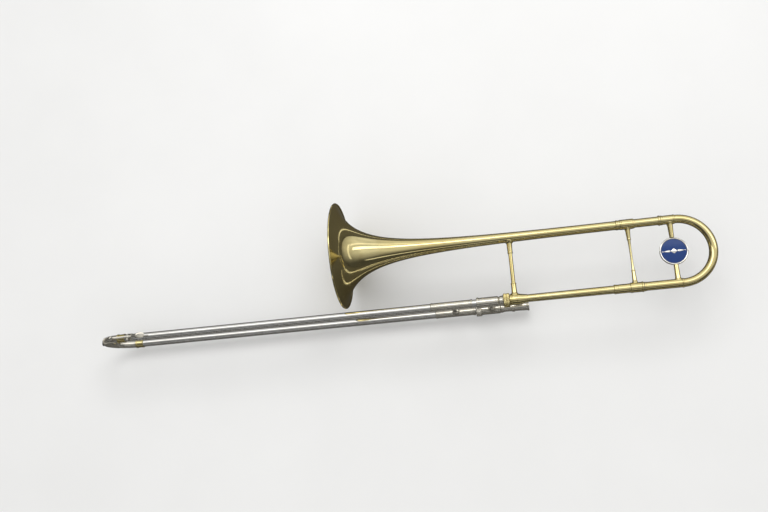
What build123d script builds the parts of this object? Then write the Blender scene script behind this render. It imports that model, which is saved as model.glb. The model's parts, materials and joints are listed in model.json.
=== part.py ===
from build123d import *
import os
from math import cos, hypot, radians, sin

# Straight tenor trombone, assembled, hand slide closed.
#
# Frame: millimetres. The origin is the centre of the bell's mouth, on the
# bell's axis. +X runs along the bell's axis towards the tuning slide, so the
# bell and the hand slide both point to -X. The bell section lies in the XY
# plane, with the gooseneck axis at y = -bell_spacing. The hand slide's
# bell-side leg shares the gooseneck axis, and its mouthpiece leg lies
# slide_spacing below it, in -Z.
#
# In names, ri and ro are inside and outside radii, and x0 and x1 are the -X
# and +X ends. Profile points are (place along the axis, radius).

os.makedirs("parts", exist_ok=True)

# ---------------------------------------------------------------- dimensions
bell_spacing = 117.0      # bell axis to gooseneck axis
slide_spacing = 80.0      # between the two legs of the hand slide
goose_y = -bell_spacing   # y of the gooseneck and of both slide legs
mouth_z = -slide_spacing  # z of the mouthpiece leg

# Bell
bell_r = 101.6            # bell mouth radius (8 inch bell)
sheet = 0.6               # thickness of the bell sheet
bead_r = 1.7              # rolled edge of the bell
bead_x = 1.55
stem_r = 8.22             # small end of the bell stem, outside
stem_x0 = 500.0           # start of the cylindrical stem
stem_x1 = 531.0
stem_ferrule_ro = 9.3

# Outer tuning legs and gooseneck
leg_ri = 7.35
leg_ro = 7.80
upper_leg_x1 = 590.8
lower_leg_x0 = 501.0
lower_leg_x1 = 546.8
leg_ring_len = 2.8
collar_ro = 8.9
gooseneck_x0 = 328.0
gooseneck_ro = 7.00       # at the receiver
gooseneck_ro2 = 7.30      # at the tuning leg
gooseneck_wall = 0.5

# Slide receiver, tenon and lock nut
receiver_x = 304.0        # face of the slide receiver
receiver_bore = 7.45
receiver_ro = 9.8
tenon_r = 7.40            # 0.05 running clearance in the receiver
thread_r = 9.85           # crest of the tenon's thread
nut_bore = 9.90
nut_x0 = 299.0
nut_x1 = 310.5
nut_r = 12.8

# Tuning slide
inner_leg_ro = 7.28       # 0.07 running clearance in the outer legs
inner_leg_ri = 6.90
bow_x = 615.6             # where the tuning bow starts to turn
bow_x0 = bow_x - 3.6      # ends of the bow's straight tails
bow_mid_y = goose_y / 2
bow_ro = 7.70
bow_ri = 6.90
bow_ferrule_ro = 8.2
bow_sleeve_ro = 7.9

# Braces of the bell section, and the medallion
front_brace_x = 320.0
rear_brace_x = 533.0
medal_x = 607.0
medal_r = 25.0
medal_ri = medal_r - 1.8  # inside of the medallion's rim

# Hand slide tubes
bore_r = 6.225            # .490 inch slide bore
inner_ro = 6.525          # inner slide tube, outside
stocking_ro = 6.70
outer_ri = 6.78           # 0.08 clearance on the stockings
outer_ro = 7.20
inner_x0 = -448.0
stocking_len = 120.0
outer_x0 = -452.0
outer_x1 = 278.8

# End bow of the hand slide
end_bow_x = -456.0        # where the end bow starts to turn
end_bow_ri = outer_ri
end_bow_ro = 7.50
end_bow_r = slide_spacing / 2
guard_ro = end_bow_ro + 0.9
guard_half_angle = 42.0

# Cork barrels, braces and lock of the hand slide
barrel_x0 = 250.0
barrel_x1 = 290.0
barrel_ro = 9.40
barrel_ri = 8.00
barrel_wall_x = 285.0     # inside face of the barrel's end wall
inner_brace_x = 274.0
hand_brace_x = 205.0
sleeve_x0 = 165.0
sleeve_x1 = 242.0
sleeve_ro = 7.90
lock_x0 = 243.5
lock_x1 = 254.0
lock_ro = 11.6
notch_r = 9.25
notch_half_angle = 18.0

# Mouthpiece receiver and leadpipe
mouth_x = 344.0           # open end of the mouthpiece receiver
mouth_bore = 6.35         # small-shank receiver
leadpipe_x1 = 313.0

# Water key
key_angle = radians(12.0)  # water key nipple, round the end bow from its turn
drain_r = 2.2
nipple_height = 10.2      # above the bow's centre line
cork_r = 4.4
cork_len = 2.2
cup_r = 5.0
saddle_len = 14.0
key_pivot_x = -431.0
key_pivot_z = 11.6
pivot_r = 1.25
hinge_r = 2.6
screw_head_y = -7.2       # slotted face of the screw, from the slide's plane
screw_neck_y = -5.65      # underside of its head
spring_r = 3.05           # coil radius to the middle of the wire
spring_wire_r = 0.3
spring_turns = (2.92, 3.34, 3.76)  # y of each turn, from the slide's plane


# ------------------------------------------------------- axes and work planes
def along_x(y, z):
    """Work plane and axis of a tube parallel to X; local y is +Y."""
    return (Plane(origin=(0, y, z), x_dir=(1, 0, 0), z_dir=(0, 0, 1)),
            Axis((0, y, z), (1, 0, 0)))


def along_y(x):
    """Work plane and axis of a brace parallel to Y; local x is +Y."""
    return (Plane(origin=(x, 0, 0), x_dir=(0, 1, 0), z_dir=(0, 0, 1)),
            Axis((x, 0, 0), (0, 1, 0)))


def across_x(x, y, z):
    """Plane facing +X; local x is +Y and local y is +Z."""
    return Plane(origin=(x, y, z), x_dir=(0, 1, 0), z_dir=(1, 0, 0))


def side_plane(x, y):
    """Plane facing -Y; local x is +X and local y is +Z."""
    return Plane(origin=(x, y, 0), x_dir=(1, 0, 0), z_dir=(0, -1, 0))


bell_line = bell_plane, bell_axis = along_x(0, 0)
goose_line = goose_plane, goose_axis = along_x(goose_y, 0)
mouth_line = mouth_plane, mouth_axis = along_x(goose_y, mouth_z)


# -------------------------------------------------------------------- helpers
pieces = []


def finish(label, builder):
    """Name a piece, list it for export and return its part."""
    builder.part.label = label
    pieces.append(builder.part)
    return builder.part


def outline(points):
    """Closed straight-sided profile in the current sketch."""
    Polygon(*points, align=None)


def tube(x0, x1, ri, ro):
    """Half section of a tube."""
    return [(x0, ri), (x1, ri), (x1, ro), (x0, ro)]


def turned(label, *bodies):
    """Piece of turned bodies, each given as (line, profile points)."""
    with BuildPart() as piece:
        for (plane, axis), points in bodies:
            with BuildSketch(plane):
                outline(points)
            revolve(axis=axis)
    return finish(label, piece)


def turned_on_both_legs(label, points):
    """The same turned body on each leg of the hand slide."""
    return turned(label, (goose_line, points), (mouth_line, points))


def cut_for_tube(x, y, z, radius, length):
    """Cut the current part to sit on a tube parallel to X."""
    with Locations((x, y, z)):
        Cylinder(radius, length, rotation=(0, 90, 0), mode=Mode.SUBTRACT)


# --------------------------------------------------------------- bell section
# Outside of the bell: (x, radius).
bell_curve = [
    (1.3, 100.83), (2.4, 96.81), (3.9, 91.98), (5.9, 86.49), (8.9, 79.70),
    (12.9, 72.51), (17.9, 65.44), (23.9, 58.73), (31.9, 51.68), (41.9, 44.84),
    (53.9, 38.51), (67.9, 32.87), (84.9, 27.73), (105.9, 23.10),
    (130.9, 19.21), (160.9, 16.00), (195.9, 13.48), (235.9, 11.58),
    (280.9, 10.21), (330.9, 9.25), (385.9, 8.63), (445.9, 8.30),
    (stem_x0, stem_r),
]
mouth_slope = 3.75        # fall of the radius per unit of x at the mouth

# Inside of the bell: each point moved in by the sheet, square to the chord
# between its neighbours.
inner_curve = []
for i, (x, radius) in enumerate(bell_curve):
    x_before, r_before = bell_curve[max(i - 1, 0)]
    x_after, r_after = bell_curve[min(i + 1, len(bell_curve) - 1)]
    dx, dr = x_after - x_before, r_after - r_before
    chord = hypot(dx, dr)
    inner_curve.append((x + sheet * dr / chord, radius - sheet * dx / chord))
inner_curve[-1] = (stem_x0, stem_r - sheet)

with BuildPart() as bell_builder:
    with BuildSketch(bell_plane):
        with BuildLine():
            Spline(*bell_curve, tangents=[(1, -mouth_slope), (1, 0)])
            Line((stem_x0, stem_r), (stem_x1, stem_r))
            Line((stem_x1, stem_r), (stem_x1, stem_r - sheet))
            Line((stem_x1, stem_r - sheet), (stem_x0, stem_r - sheet))
            Spline(*inner_curve[::-1], tangents=[(-1, 0), (-1, mouth_slope)])
            Line(inner_curve[0], bell_curve[0])
        make_face()
    revolve(axis=bell_axis)
bell = finish("bell", bell_builder)

# Solid envelope of the bell, used only to shape the brace feet that sit on it.
with BuildPart() as bell_envelope:
    with BuildSketch(bell_plane):
        with BuildLine():
            Spline(*bell_curve, tangents=[(1, -mouth_slope), (1, 0)])
            Line((stem_x0, stem_r), (stem_x0, 0))
            Line((stem_x0, 0), (bell_curve[0][0], 0))
            Line((bell_curve[0][0], 0), bell_curve[0])
        make_face()
    revolve(axis=bell_axis)

with BuildPart() as rim_bead:
    with BuildSketch(bell_plane):
        with Locations((bead_x, bell_r - bead_r)):
            Circle(bead_r)
        # flat front of the rim at x = 0
        with Locations((-5, bell_r - bead_r)):
            Rectangle(10, 10, mode=Mode.SUBTRACT)
    revolve(axis=bell_axis)
    add(bell, mode=Mode.SUBTRACT)
finish("bell_rim_bead", rim_bead)

with BuildPart() as stem_ferrule:
    with BuildSketch(bell_plane):
        outline([
            (513.0, stem_r), (stem_x1, stem_r), (stem_x1, leg_ro), (545.5, leg_ro),
            (545.5, 8.8), (543.2, 8.8), (543.2, stem_ferrule_ro), (520.6, stem_ferrule_ro),
            (519.6, 8.75), (516.2, 8.75), (515.6, 9.1), (513.6, 9.1), (513.0, 8.6),
        ])
        fillet([v for v in vertices() if v.Y > stem_ferrule_ro - 0.05], radius=0.45)
    revolve(axis=bell_axis)
finish("bell_stem_ferrule", stem_ferrule)

turned("upper_tuning_leg", (bell_line, tube(stem_x1, upper_leg_x1, leg_ri, leg_ro)))
turned("lower_tuning_leg", (goose_line, tube(lower_leg_x0, lower_leg_x1, leg_ri, leg_ro)))

# Raised end rings of the two outer legs. Corners above round_above, in the
# sketch's own y, are rounded: two on the upper ring, all four on the lower.
with BuildPart() as leg_rings:
    for (plane, axis), ring_x1, ring_ro, round_above in (
        (bell_line, upper_leg_x1, 9.3, 9.2),
        (goose_line, lower_leg_x1, 9.4, goose_y + 9.3),
    ):
        with BuildSketch(plane):
            outline(tube(ring_x1 - leg_ring_len, ring_x1, leg_ro, ring_ro))
            fillet([v for v in vertices() if v.Y > round_above], radius=0.6)
        revolve(axis=axis)
finish("tuning_leg_rings", leg_rings)

turned("gooseneck", (goose_line, [
    (gooseneck_x0, gooseneck_ro - gooseneck_wall), (345, gooseneck_ro - gooseneck_wall),
    (480, gooseneck_ro2 - gooseneck_wall), (lower_leg_x0, gooseneck_ro2 - gooseneck_wall),
    (lower_leg_x0, gooseneck_ro2), (480, gooseneck_ro2),
    (345, gooseneck_ro), (gooseneck_x0, gooseneck_ro),
]))

turned("gooseneck_ferrule", (goose_line, [
    (495.5, gooseneck_ro2), (lower_leg_x0, gooseneck_ro2), (lower_leg_x0, leg_ro),
    (523.4, leg_ro), (523.4, 8.5), (521.2, 8.5), (520.8, 8.3), (499.0, 8.3),
    (498.6, 8.6), (496.0, 8.6), (495.5, 8.0),
]))

turned("lower_leg_collar", (goose_line, [
    (524.2, leg_ro), (543.6, leg_ro), (543.6, collar_ro), (527.6, collar_ro),
    (527.2, 9.3), (524.6, 9.3), (524.2, 8.9),
]))

bell_receiver = turned("bell_receiver", (goose_line, [
    (receiver_x, receiver_bore), (327.0, receiver_bore),
    (gooseneck_x0, gooseneck_ro - gooseneck_wall), (gooseneck_x0, gooseneck_ro),
    (342.0, gooseneck_ro), (342.0, 7.6), (338.0, 7.9), (333.0, 8.7), (328.5, 9.6),
    (327.0, receiver_ro), (314.0, receiver_ro), (313.6, 10.5), (311.6, 10.5),
    (311.0, 9.9), (311.0, 9.0), (306.2, 9.0), (306.2, 10.2), (receiver_x, 10.2),
]))

# Front bell brace: a rod between the bell stem and the receiver, in two
# sleeves whose feet are shaped to the pieces they sit on.
front_plane, front_axis = along_y(front_brace_x)
with BuildPart() as front_rod:
    with BuildSketch(front_plane):
        outline([
            (goose_y + 6, 0), (-6, 0), (-6, 3.85), (-40, 3.6),
            (goose_y + 40, 3.6), (goose_y + 6, 3.85),
        ])
    revolve(axis=front_axis)
    cut_for_tube(front_brace_x, goose_y, 0, receiver_ro, 30)
    add(bell_envelope.part, mode=Mode.SUBTRACT)
front_brace = finish("front_brace", front_rod)

# Socket profiles: (distance from the tube's axis, radius).
bell_socket = [
    (4, 3.3), (4, 7.6), (9.6, 7.0), (10.9, 5.9), (12.2, 5.0), (28.2, 4.55),
    (28.6, 4.95), (30.2, 4.95), (30.6, 4.4), (30.6, 3.3),
]
receiver_socket = [
    (4, 3.3), (4, 7.0), (10.2, 6.6), (11.4, 5.7), (12.4, 5.0), (28.2, 4.55),
    (28.6, 4.95), (30.2, 4.95), (30.6, 4.4), (30.6, 3.3),
]
with BuildPart() as front_sockets:
    with BuildSketch(front_plane):
        outline([(-distance, radius) for distance, radius in bell_socket])
        outline([(goose_y + distance, radius) for distance, radius in receiver_socket])
    revolve(axis=front_axis)
    add(front_brace, mode=Mode.SUBTRACT)
    add(bell_receiver, mode=Mode.SUBTRACT)
    cut_for_tube(front_brace_x, goose_y, 0, receiver_ro, 30)
    add(bell_envelope.part, mode=Mode.SUBTRACT)
finish("front_brace_sockets", front_sockets)

# Rear bell brace: a slim rod with long tapered ends, in one piece.
rear_plane, rear_axis = along_y(rear_brace_x)
with BuildPart() as rear_brace:
    with BuildSketch(rear_plane):
        with BuildLine():
            stem_foot = Polyline((-5, 0), (-5, 5.4), (-9.4, 5.2), (-11.4, 4.5))
            taper = Spline(stem_foot @ 1, (-18, 3.9), (-27, 3.35))
            ring = Polyline(taper @ 1, (-27.2, 3.75), (-29.0, 3.75), (-29.4, 3.0))
            waist = Spline(ring @ 1, (-38, 2.35), (-58, 2.1), (-76, 2.25),
                           (goose_y + 32, 2.7))
            Polyline(waist @ 1, (goose_y + 31.6, 3.6), (goose_y + 29.8, 3.6),
                     (goose_y + 29.4, 3.2), (goose_y + 12, 4.1), (goose_y + 10, 4.6),
                     (goose_y + 4, 5.2), (goose_y + 4, 0), (-5, 0))
        make_face()
    revolve(axis=rear_axis)
    cut_for_tube(rear_brace_x, 0, 0, stem_ferrule_ro, 30)
    cut_for_tube(rear_brace_x, goose_y, 0, collar_ro, 30)
finish("rear_brace", rear_brace)

# Lock nut that draws the tenon into the receiver, with a knurled rim and one
# turned groove.
with BuildPart() as lock_nut:
    with BuildSketch(goose_plane):
        outline([
            (nut_x0, nut_bore), (303.8, nut_bore), (303.8, 10.35), (306.4, 10.35),
            (306.4, 9.05), (nut_x1, 9.05), (nut_x1, 11.6), (309.7, nut_r),
            (300.0, nut_r), (nut_x0, 11.9),
        ])
    revolve(axis=goose_axis)
    with BuildSketch(across_x(nut_x0 - 1, goose_y, 0)):
        with PolarLocations(nut_r + 0.25, 44):
            Circle(0.58)
    extrude(amount=14, mode=Mode.SUBTRACT)
    with BuildSketch(goose_plane):
        with Locations(((nut_x0 + nut_x1) / 2, nut_r + 0.1)):
            Circle(0.65)
    revolve(axis=goose_axis, mode=Mode.SUBTRACT)
finish("bell_lock_nut", lock_nut)

# -------------------------------------------------------------- tuning slide
turned("tuning_inner_legs",
       (bell_line, tube(537.0, bow_x0, inner_leg_ri, inner_leg_ro)),
       (goose_line, tube(502.5, bow_x0, inner_leg_ri, inner_leg_ro)))

with BuildPart() as tuning_bow:
    with BuildLine() as bow_path:
        Line((bow_x0, 0, 0), (bow_x, 0, 0))
        ThreePointArc((bow_x, 0, 0), (bow_x - bow_mid_y, bow_mid_y, 0), (bow_x, goose_y, 0))
        Line((bow_x, goose_y, 0), (bow_x0, goose_y, 0))
    with BuildSketch(across_x(bow_x0, 0, 0)):
        Circle(bow_ro)
        Circle(bow_ri, mode=Mode.SUBTRACT)
    sweep(path=bow_path.line)
finish("tuning_bow", tuning_bow)

upper_bow_ferrule = turned("upper_bow_ferrule", (bell_line, [
    (591.4, inner_leg_ro), (bow_x0, inner_leg_ro), (bow_x0, bow_ro), (bow_x, bow_ro),
    (bow_x, 8.2), (615.0, 8.6), (613.2, 8.6), (612.8, bow_ferrule_ro),
    (595.0, bow_ferrule_ro), (594.6, 8.7), (592.0, 8.7), (591.4, 8.2),
]))

lower_bow_sleeve = turned("lower_bow_sleeve", (goose_line, [
    (547.6, inner_leg_ro), (bow_x0, inner_leg_ro), (bow_x0, bow_ro), (bow_x, bow_ro),
    (bow_x, 8.2), (615.0, 8.5), (613.2, 8.5), (612.6, bow_sleeve_ro),
    (550.6, bow_sleeve_ro), (550.2, 8.4), (548.0, 8.4), (547.6, 8.0),
]))

# Two tapered struts carry the medallion across the bow. Drawn to reach a
# little inside its rim, then cut back to it.
strut_plane, strut_axis = along_y(medal_x)
strut_reach = medal_r - 0.8
with BuildPart() as struts:
    with BuildSketch(strut_plane):
        outline([
            (-5, 0), (-5, 6.2), (-8.6, 6.0), (-10.2, 5.0),
            (bow_mid_y + strut_reach, 3.9), (bow_mid_y + strut_reach, 0),
        ])
        outline([
            (goose_y + 5, 0), (goose_y + 5, 6.0), (goose_y + 8.6, 5.6), (goose_y + 10.2, 4.8),
            (bow_mid_y - strut_reach, 3.9), (bow_mid_y - strut_reach, 0),
        ])
    revolve(axis=strut_axis)
    cut_for_tube(medal_x, 0, 0, bow_ferrule_ro, 16)
    cut_for_tube(medal_x, goose_y, 0, bow_sleeve_ro, 16)
    with Locations((medal_x, bow_mid_y, 0)):
        Cylinder(medal_r, 20, mode=Mode.SUBTRACT)
    add(upper_bow_ferrule, mode=Mode.SUBTRACT)
    add(lower_bow_sleeve, mode=Mode.SUBTRACT)
finish("medallion_struts", struts)

# Medallion: its axis is parallel to Z, so its profile points are (radius, z).
medal_plane = side_plane(medal_x, bow_mid_y)
medal_axis = Axis((medal_x, bow_mid_y, 0), (0, 0, 1))
medal_line = (medal_plane, medal_axis)

turned("medallion_rim", (medal_line, [
    (medal_ri, -1.7), (medal_r, -1.7), (medal_r, 1.5), (medal_r - 0.5, 1.9),
    (medal_r - 1.3, 1.9), (medal_ri, 1.5),
]))

turned("medallion_back", (medal_line, [
    (0, -1.5), (medal_ri, -1.5), (medal_ri, -0.5), (0, -0.5),
]))

# Domed disc: the full section is drawn, then its -X half is cut away.
with BuildPart() as medal_disc:
    with BuildSketch(medal_plane):
        with BuildLine():
            Line((-medal_ri, -0.5), (medal_ri, -0.5))
            Line((medal_ri, -0.5), (medal_ri, 1.2))
            ThreePointArc((medal_ri, 1.2), (0, 1.9), (-medal_ri, 1.2))
            Line((-medal_ri, 1.2), (-medal_ri, -0.5))
        make_face()
        with Locations((-20, 0)):
            Rectangle(40, 10, mode=Mode.SUBTRACT)
    revolve(axis=medal_axis)
finish("medallion_disc", medal_disc)

# --------------------------------------------------------- hand slide, inner
turned("inner_slide_tubes",
       (goose_line, tube(inner_x0, 300.0, bore_r, inner_ro)),
       (mouth_line, tube(inner_x0, leadpipe_x1, bore_r, inner_ro)))

turned_on_both_legs("slide_stockings",
                    tube(inner_x0, inner_x0 + stocking_len, inner_ro, stocking_ro))

# Cork barrels: the same body, with a raised end ring on the bell side only.
barrel_body = [
    (barrel_x0, barrel_ri), (barrel_wall_x, barrel_ri), (barrel_wall_x, inner_ro),
    (barrel_x1, inner_ro), (barrel_x1, 8.4), (barrel_x1 - 1.2, barrel_ro),
]
barrel_end_ring = [
    (barrel_x0 + 4.2, barrel_ro), (barrel_x0 + 3.8, 10.2), (barrel_x0 + 0.5, 10.2),
    (barrel_x0, 9.7),
]
turned("bell_side_cork_barrel", (goose_line, barrel_body + barrel_end_ring))
turned("mouthpiece_cork_barrel", (mouth_line, barrel_body + [(barrel_x0, barrel_ro)]))

turned_on_both_legs("cork_bumpers", tube(outer_x1 + 0.1, barrel_wall_x, inner_ro, barrel_ri))

# Bell tenon: a plain spigot, then V grooves for the thread.
tenon_thread = []
for groove_x in (303.1, 301.7, 300.3):
    tenon_thread += [(groove_x + 0.3, thread_r), (groove_x, 9.5), (groove_x - 0.3, thread_r)]
turned("bell_tenon", (goose_line, [
    (barrel_x1, inner_ro), (300.0, inner_ro), (300.0, bore_r), (326.0, bore_r),
    (326.0, tenon_r - 0.4), (325.2, tenon_r), (receiver_x - 0.1, tenon_r),
    (receiver_x - 0.1, thread_r), *tenon_thread, (299.2, thread_r), (298.9, 9.4),
    (298.4, 9.4), (298.1, 9.75), (297.3, 9.75), (297.0, 9.3), (292.5, 8.8),
    (291.5, 7.9), (barrel_x1, 7.9),
]))

with BuildPart() as mouth_receiver:
    with BuildSketch(mouth_plane):
        with BuildLine():
            bore_and_rim = Polyline(
                (barrel_x1, inner_ro), (leadpipe_x1, inner_ro), (leadpipe_x1, 5.95),
                (mouth_x - 10, mouth_bore), (mouth_x, mouth_bore), (mouth_x, 8.9),
                (mouth_x - 0.5, 9.4), (mouth_x - 2.3, 9.4), (mouth_x - 2.8, 8.9))
            flare = Spline(bore_and_rim @ 1, (336.0, 8.45), (327.0, 8.05), (318.0, 7.9))
            Polyline(
                flare @ 1, (316.6, 7.9), (316.2, 8.9), (311.6, 8.9), (311.2, 7.7),
                (296.0, 7.7), (294.6, 8.2), (293.8, 8.7), (291.4, 8.7),
                (barrel_x1, 8.1), (barrel_x1, inner_ro))
        make_face()
    revolve(axis=mouth_axis)
finish("mouthpiece_receiver", mouth_receiver)

turned("leadpipe", (mouth_line, [
    (100.0, bore_r - 0.25), (288.0, 5.15), (leadpipe_x1, 5.8), (leadpipe_x1, bore_r),
    (100.0, bore_r),
]))


def slide_brace(label, x, rod_r, seat_r, seat_len, socket):
    """Rod between the slide legs and the sockets at its two ends.

    seat_r is the radius of the tubes it sits on, and socket is the profile
    of one socket: (distance from the tube's axis, radius).
    """
    with BuildPart() as rod:
        with BuildSketch(Plane(origin=(x, goose_y, mouth_z + 4))):
            Circle(rod_r)
        extrude(amount=slide_spacing - 8)
        for z in (0, mouth_z):
            cut_for_tube(x, goose_y, z, seat_r, seat_len)
    finish(label, rod)

    with BuildPart() as sockets:
        with BuildSketch(Plane(origin=(x, goose_y, 0), x_dir=(0, 0, 1), z_dir=(0, 1, 0))):
            outline([(-distance, radius) for distance, radius in socket])
            outline([(mouth_z + distance, radius) for distance, radius in socket])
        revolve(axis=Axis((x, goose_y, 0), (0, 0, 1)))
        for z in (0, mouth_z):
            cut_for_tube(x, goose_y, z, seat_r, seat_len)
    finish(label + "_sockets", sockets)


slide_brace("inner_brace", inner_brace_x, rod_r=3.8, seat_r=barrel_ro, seat_len=20, socket=[
    (4, 3.8), (4, 7.2), (9.6, 6.8), (11.2, 5.6), (12.4, 4.9), (19.0, 4.6),
    (19.4, 5.1), (21.4, 5.1), (21.8, 3.8),
])

# Slide lock: a knurled ring that turns on the mouthpiece-side barrel. Its lip
# has one notch, and the pin on the outer slide passes only through the notch.
with BuildPart() as lock_ring:
    with BuildSketch(mouth_plane):
        outline([
            (lock_x0, 8.1), (245.5, 8.1), (245.5, 9.3), (249.9, 9.3), (249.9, 9.45),
            (lock_x1, 9.45), (lock_x1, 10.4), (lock_x1 - 1.0, lock_ro),
            (lock_x0 + 0.9, lock_ro), (lock_x0, 10.7),
        ])
    revolve(axis=mouth_axis)
    with BuildSketch(across_x(lock_x0 - 1, goose_y, mouth_z)):
        with PolarLocations(lock_ro + 0.25, 40):
            Circle(0.55)
    extrude(amount=13, mode=Mode.SUBTRACT)
    # the notch, a wedge centred on +Y
    notch_y = notch_r * cos(radians(notch_half_angle))
    notch_z = notch_r * sin(radians(notch_half_angle))
    with BuildSketch(across_x(lock_x0 - 1, goose_y, mouth_z)):
        with BuildLine():
            Line((0, 0), (notch_y, notch_z))
            ThreePointArc((notch_y, notch_z), (notch_r, 0), (notch_y, -notch_z))
            Line((notch_y, -notch_z), (0, 0))
        make_face()
    extrude(amount=3.5, mode=Mode.SUBTRACT)
finish("slide_lock_ring", lock_ring)

# --------------------------------------------------------- hand slide, outer
turned_on_both_legs("outer_slide_tubes", tube(outer_x0, outer_x1, outer_ri, outer_ro))

turned_on_both_legs("outer_slide_sleeves", [
    (sleeve_x0, outer_ro), (sleeve_x1, outer_ro), (sleeve_x1, 8.1), (sleeve_x1 - 0.6, 8.6),
    (sleeve_x1 - 2.6, 8.6), (sleeve_x1 - 3.1, sleeve_ro), (sleeve_x0 + 3.6, sleeve_ro),
    (sleeve_x0 + 3.1, 8.4), (sleeve_x0 + 1.2, 8.4), (sleeve_x0, 7.6),
])

with BuildPart() as lock_pin:
    with BuildSketch(across_x(246.2, goose_y, mouth_z)):
        with Locations((7.6, 0)):
            Rectangle(2.4, 2.6)
        Circle(outer_ro, mode=Mode.SUBTRACT)
    extrude(amount=2.6)
finish("slide_lock_pin", lock_pin)

slide_brace("hand_brace", hand_brace_x, rod_r=4.2, seat_r=sleeve_ro, seat_len=24, socket=[
    (3, 4.2), (3, 7.4), (8.2, 7.0), (10.0, 6.0), (11.2, 5.3), (18.0, 5.0),
    (18.4, 5.5), (20.4, 5.5), (20.8, 4.2),
])

# End bow of the hand slide, with the small drain hole under the water key.
bow_centre = (end_bow_x, goose_y, -end_bow_r)
key_dir = (-sin(key_angle), 0, cos(key_angle))        # outward at the drain hole


def key_point(height):
    """Point on the drain's axis, at a height above the bow's centre line."""
    reach = end_bow_r + height
    return (end_bow_x + reach * key_dir[0], goose_y, -end_bow_r + reach * key_dir[2])


def key_plane(height):
    """Plane square to the drain's axis, facing outward."""
    return Plane(origin=key_point(height), x_dir=(0, 1, 0), z_dir=key_dir)


with BuildPart() as end_bow:
    with BuildLine() as end_path:
        Line((outer_x0, goose_y, 0), (end_bow_x, goose_y, 0))
        ThreePointArc((end_bow_x, goose_y, 0), (end_bow_x - end_bow_r, goose_y, -end_bow_r),
                      (end_bow_x, goose_y, mouth_z))
        Line((end_bow_x, goose_y, mouth_z), (outer_x0, goose_y, mouth_z))
    with BuildSketch(Plane(origin=(outer_x0, goose_y, 0), x_dir=(0, 1, 0), z_dir=(-1, 0, 0))):
        Circle(end_bow_ro)
        Circle(end_bow_ri, mode=Mode.SUBTRACT)
    sweep(path=end_path.line)
    with BuildSketch(key_plane(0)):
        Circle(drain_r)
    extrude(amount=10, mode=Mode.SUBTRACT)
finish("end_bow", end_bow)

turned_on_both_legs("end_bow_ferrules", [
    (end_bow_x, end_bow_ro), (outer_x0, end_bow_ro), (outer_x0, outer_ro),
    (-440.0, outer_ro), (-440.0, 7.9), (-440.6, 8.6), (-442.6, 8.6), (-443.2, 8.1),
    (-452.8, 8.1), (-453.4, 8.8), (-455.4, 8.8), (end_bow_x, 8.2),
])

# Guard strip round the outside of the end bow, centred on its -X end.
guard_cos = cos(radians(guard_half_angle))
guard_sin = sin(radians(guard_half_angle))
guard_plane = Plane(origin=bow_centre, x_dir=(-guard_cos, 0, -guard_sin),
                    z_dir=(-guard_sin, 0, guard_cos))
with BuildPart() as bow_guard:
    with BuildSketch(guard_plane):
        with Locations((end_bow_r, 0)):
            Circle(guard_ro)
            Circle(end_bow_ro, mode=Mode.SUBTRACT)
        # keep only the outer part of the ring
        with Locations((end_bow_r - 6.0, 0)):
            Rectangle(20, 30, mode=Mode.SUBTRACT)
    revolve(axis=Axis(bow_centre, (0, 1, 0)), revolution_arc=2 * guard_half_angle)
finish("end_bow_guard", bow_guard)

# Round bumper on the guard, its -X end rounded and its foot cut to the guard.
with BuildPart() as bow_bumper:
    with BuildSketch(Plane(origin=(end_bow_x - end_bow_r - 4, goose_y, -end_bow_r),
                           x_dir=(0, 1, 0), z_dir=(-1, 0, 0))):
        Circle(4.6)
    extrude(amount=9.6)
    fillet(bow_bumper.edges().sort_by(Axis.X)[0], radius=1.6)
    with Locations(Location(bow_centre, (90, 0, 0))):
        Torus(end_bow_r, guard_ro, mode=Mode.SUBTRACT)
finish("end_bow_bumper", bow_bumper)

# ------------------------------------------------------------------ water key
with BuildPart() as key_nipple:
    with BuildSketch(key_plane(0)):
        Circle(3.6)
        Circle(drain_r, mode=Mode.SUBTRACT)
    extrude(amount=nipple_height)
    with Locations(Location(bow_centre, (90, 0, 0))):
        Torus(end_bow_r, end_bow_ro, mode=Mode.SUBTRACT)
    cut_for_tube(end_bow_x + 10, goose_y, 0, end_bow_ro, 20)
finish("water_key_nipple", key_nipple)

# Saddle on the bell-side tube, with two ears for the pivot screw.
with BuildPart() as key_saddle:
    with BuildSketch(across_x(key_pivot_x - saddle_len / 2, goose_y, 0)):
        Circle(outer_ro + 0.9)
        with Locations((0, -3.0)):
            Rectangle(30, 12, mode=Mode.SUBTRACT)
        Circle(outer_ro, mode=Mode.SUBTRACT)
    extrude(amount=saddle_len)
    for side in (-1, 1):
        with BuildSketch(side_plane(key_pivot_x, goose_y + side * 4.9)):
            outline([(-4.2, 5.6), (4.2, 5.6), (2.6, key_pivot_z), (-2.6, key_pivot_z)])
            with Locations((0, key_pivot_z)):
                Circle(hinge_r)
                Circle(pivot_r, mode=Mode.SUBTRACT)
        extrude(amount=0.7, both=True)
    cut_for_tube(key_pivot_x, goose_y, 0, outer_ro, 30)
finish("water_key_saddle", key_saddle)

# Pivot screw: shank, head and the slot across the head.
pivot_plane = Plane(origin=(key_pivot_x, goose_y, key_pivot_z), x_dir=(1, 0, 0),
                    z_dir=(0, 1, 0))
with BuildPart() as pivot_screw:
    with BuildSketch(pivot_plane.offset(screw_neck_y)):
        Circle(pivot_r)
    extrude(amount=11.25)
    with BuildSketch(pivot_plane.offset(screw_head_y)):
        Circle(2.1)
    extrude(amount=screw_neck_y - screw_head_y)
    with BuildSketch(pivot_plane.offset(screw_head_y)):
        Rectangle(5, 0.5)
    extrude(amount=0.7, mode=Mode.SUBTRACT)
finish("water_key_pivot_screw", pivot_screw)

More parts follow.
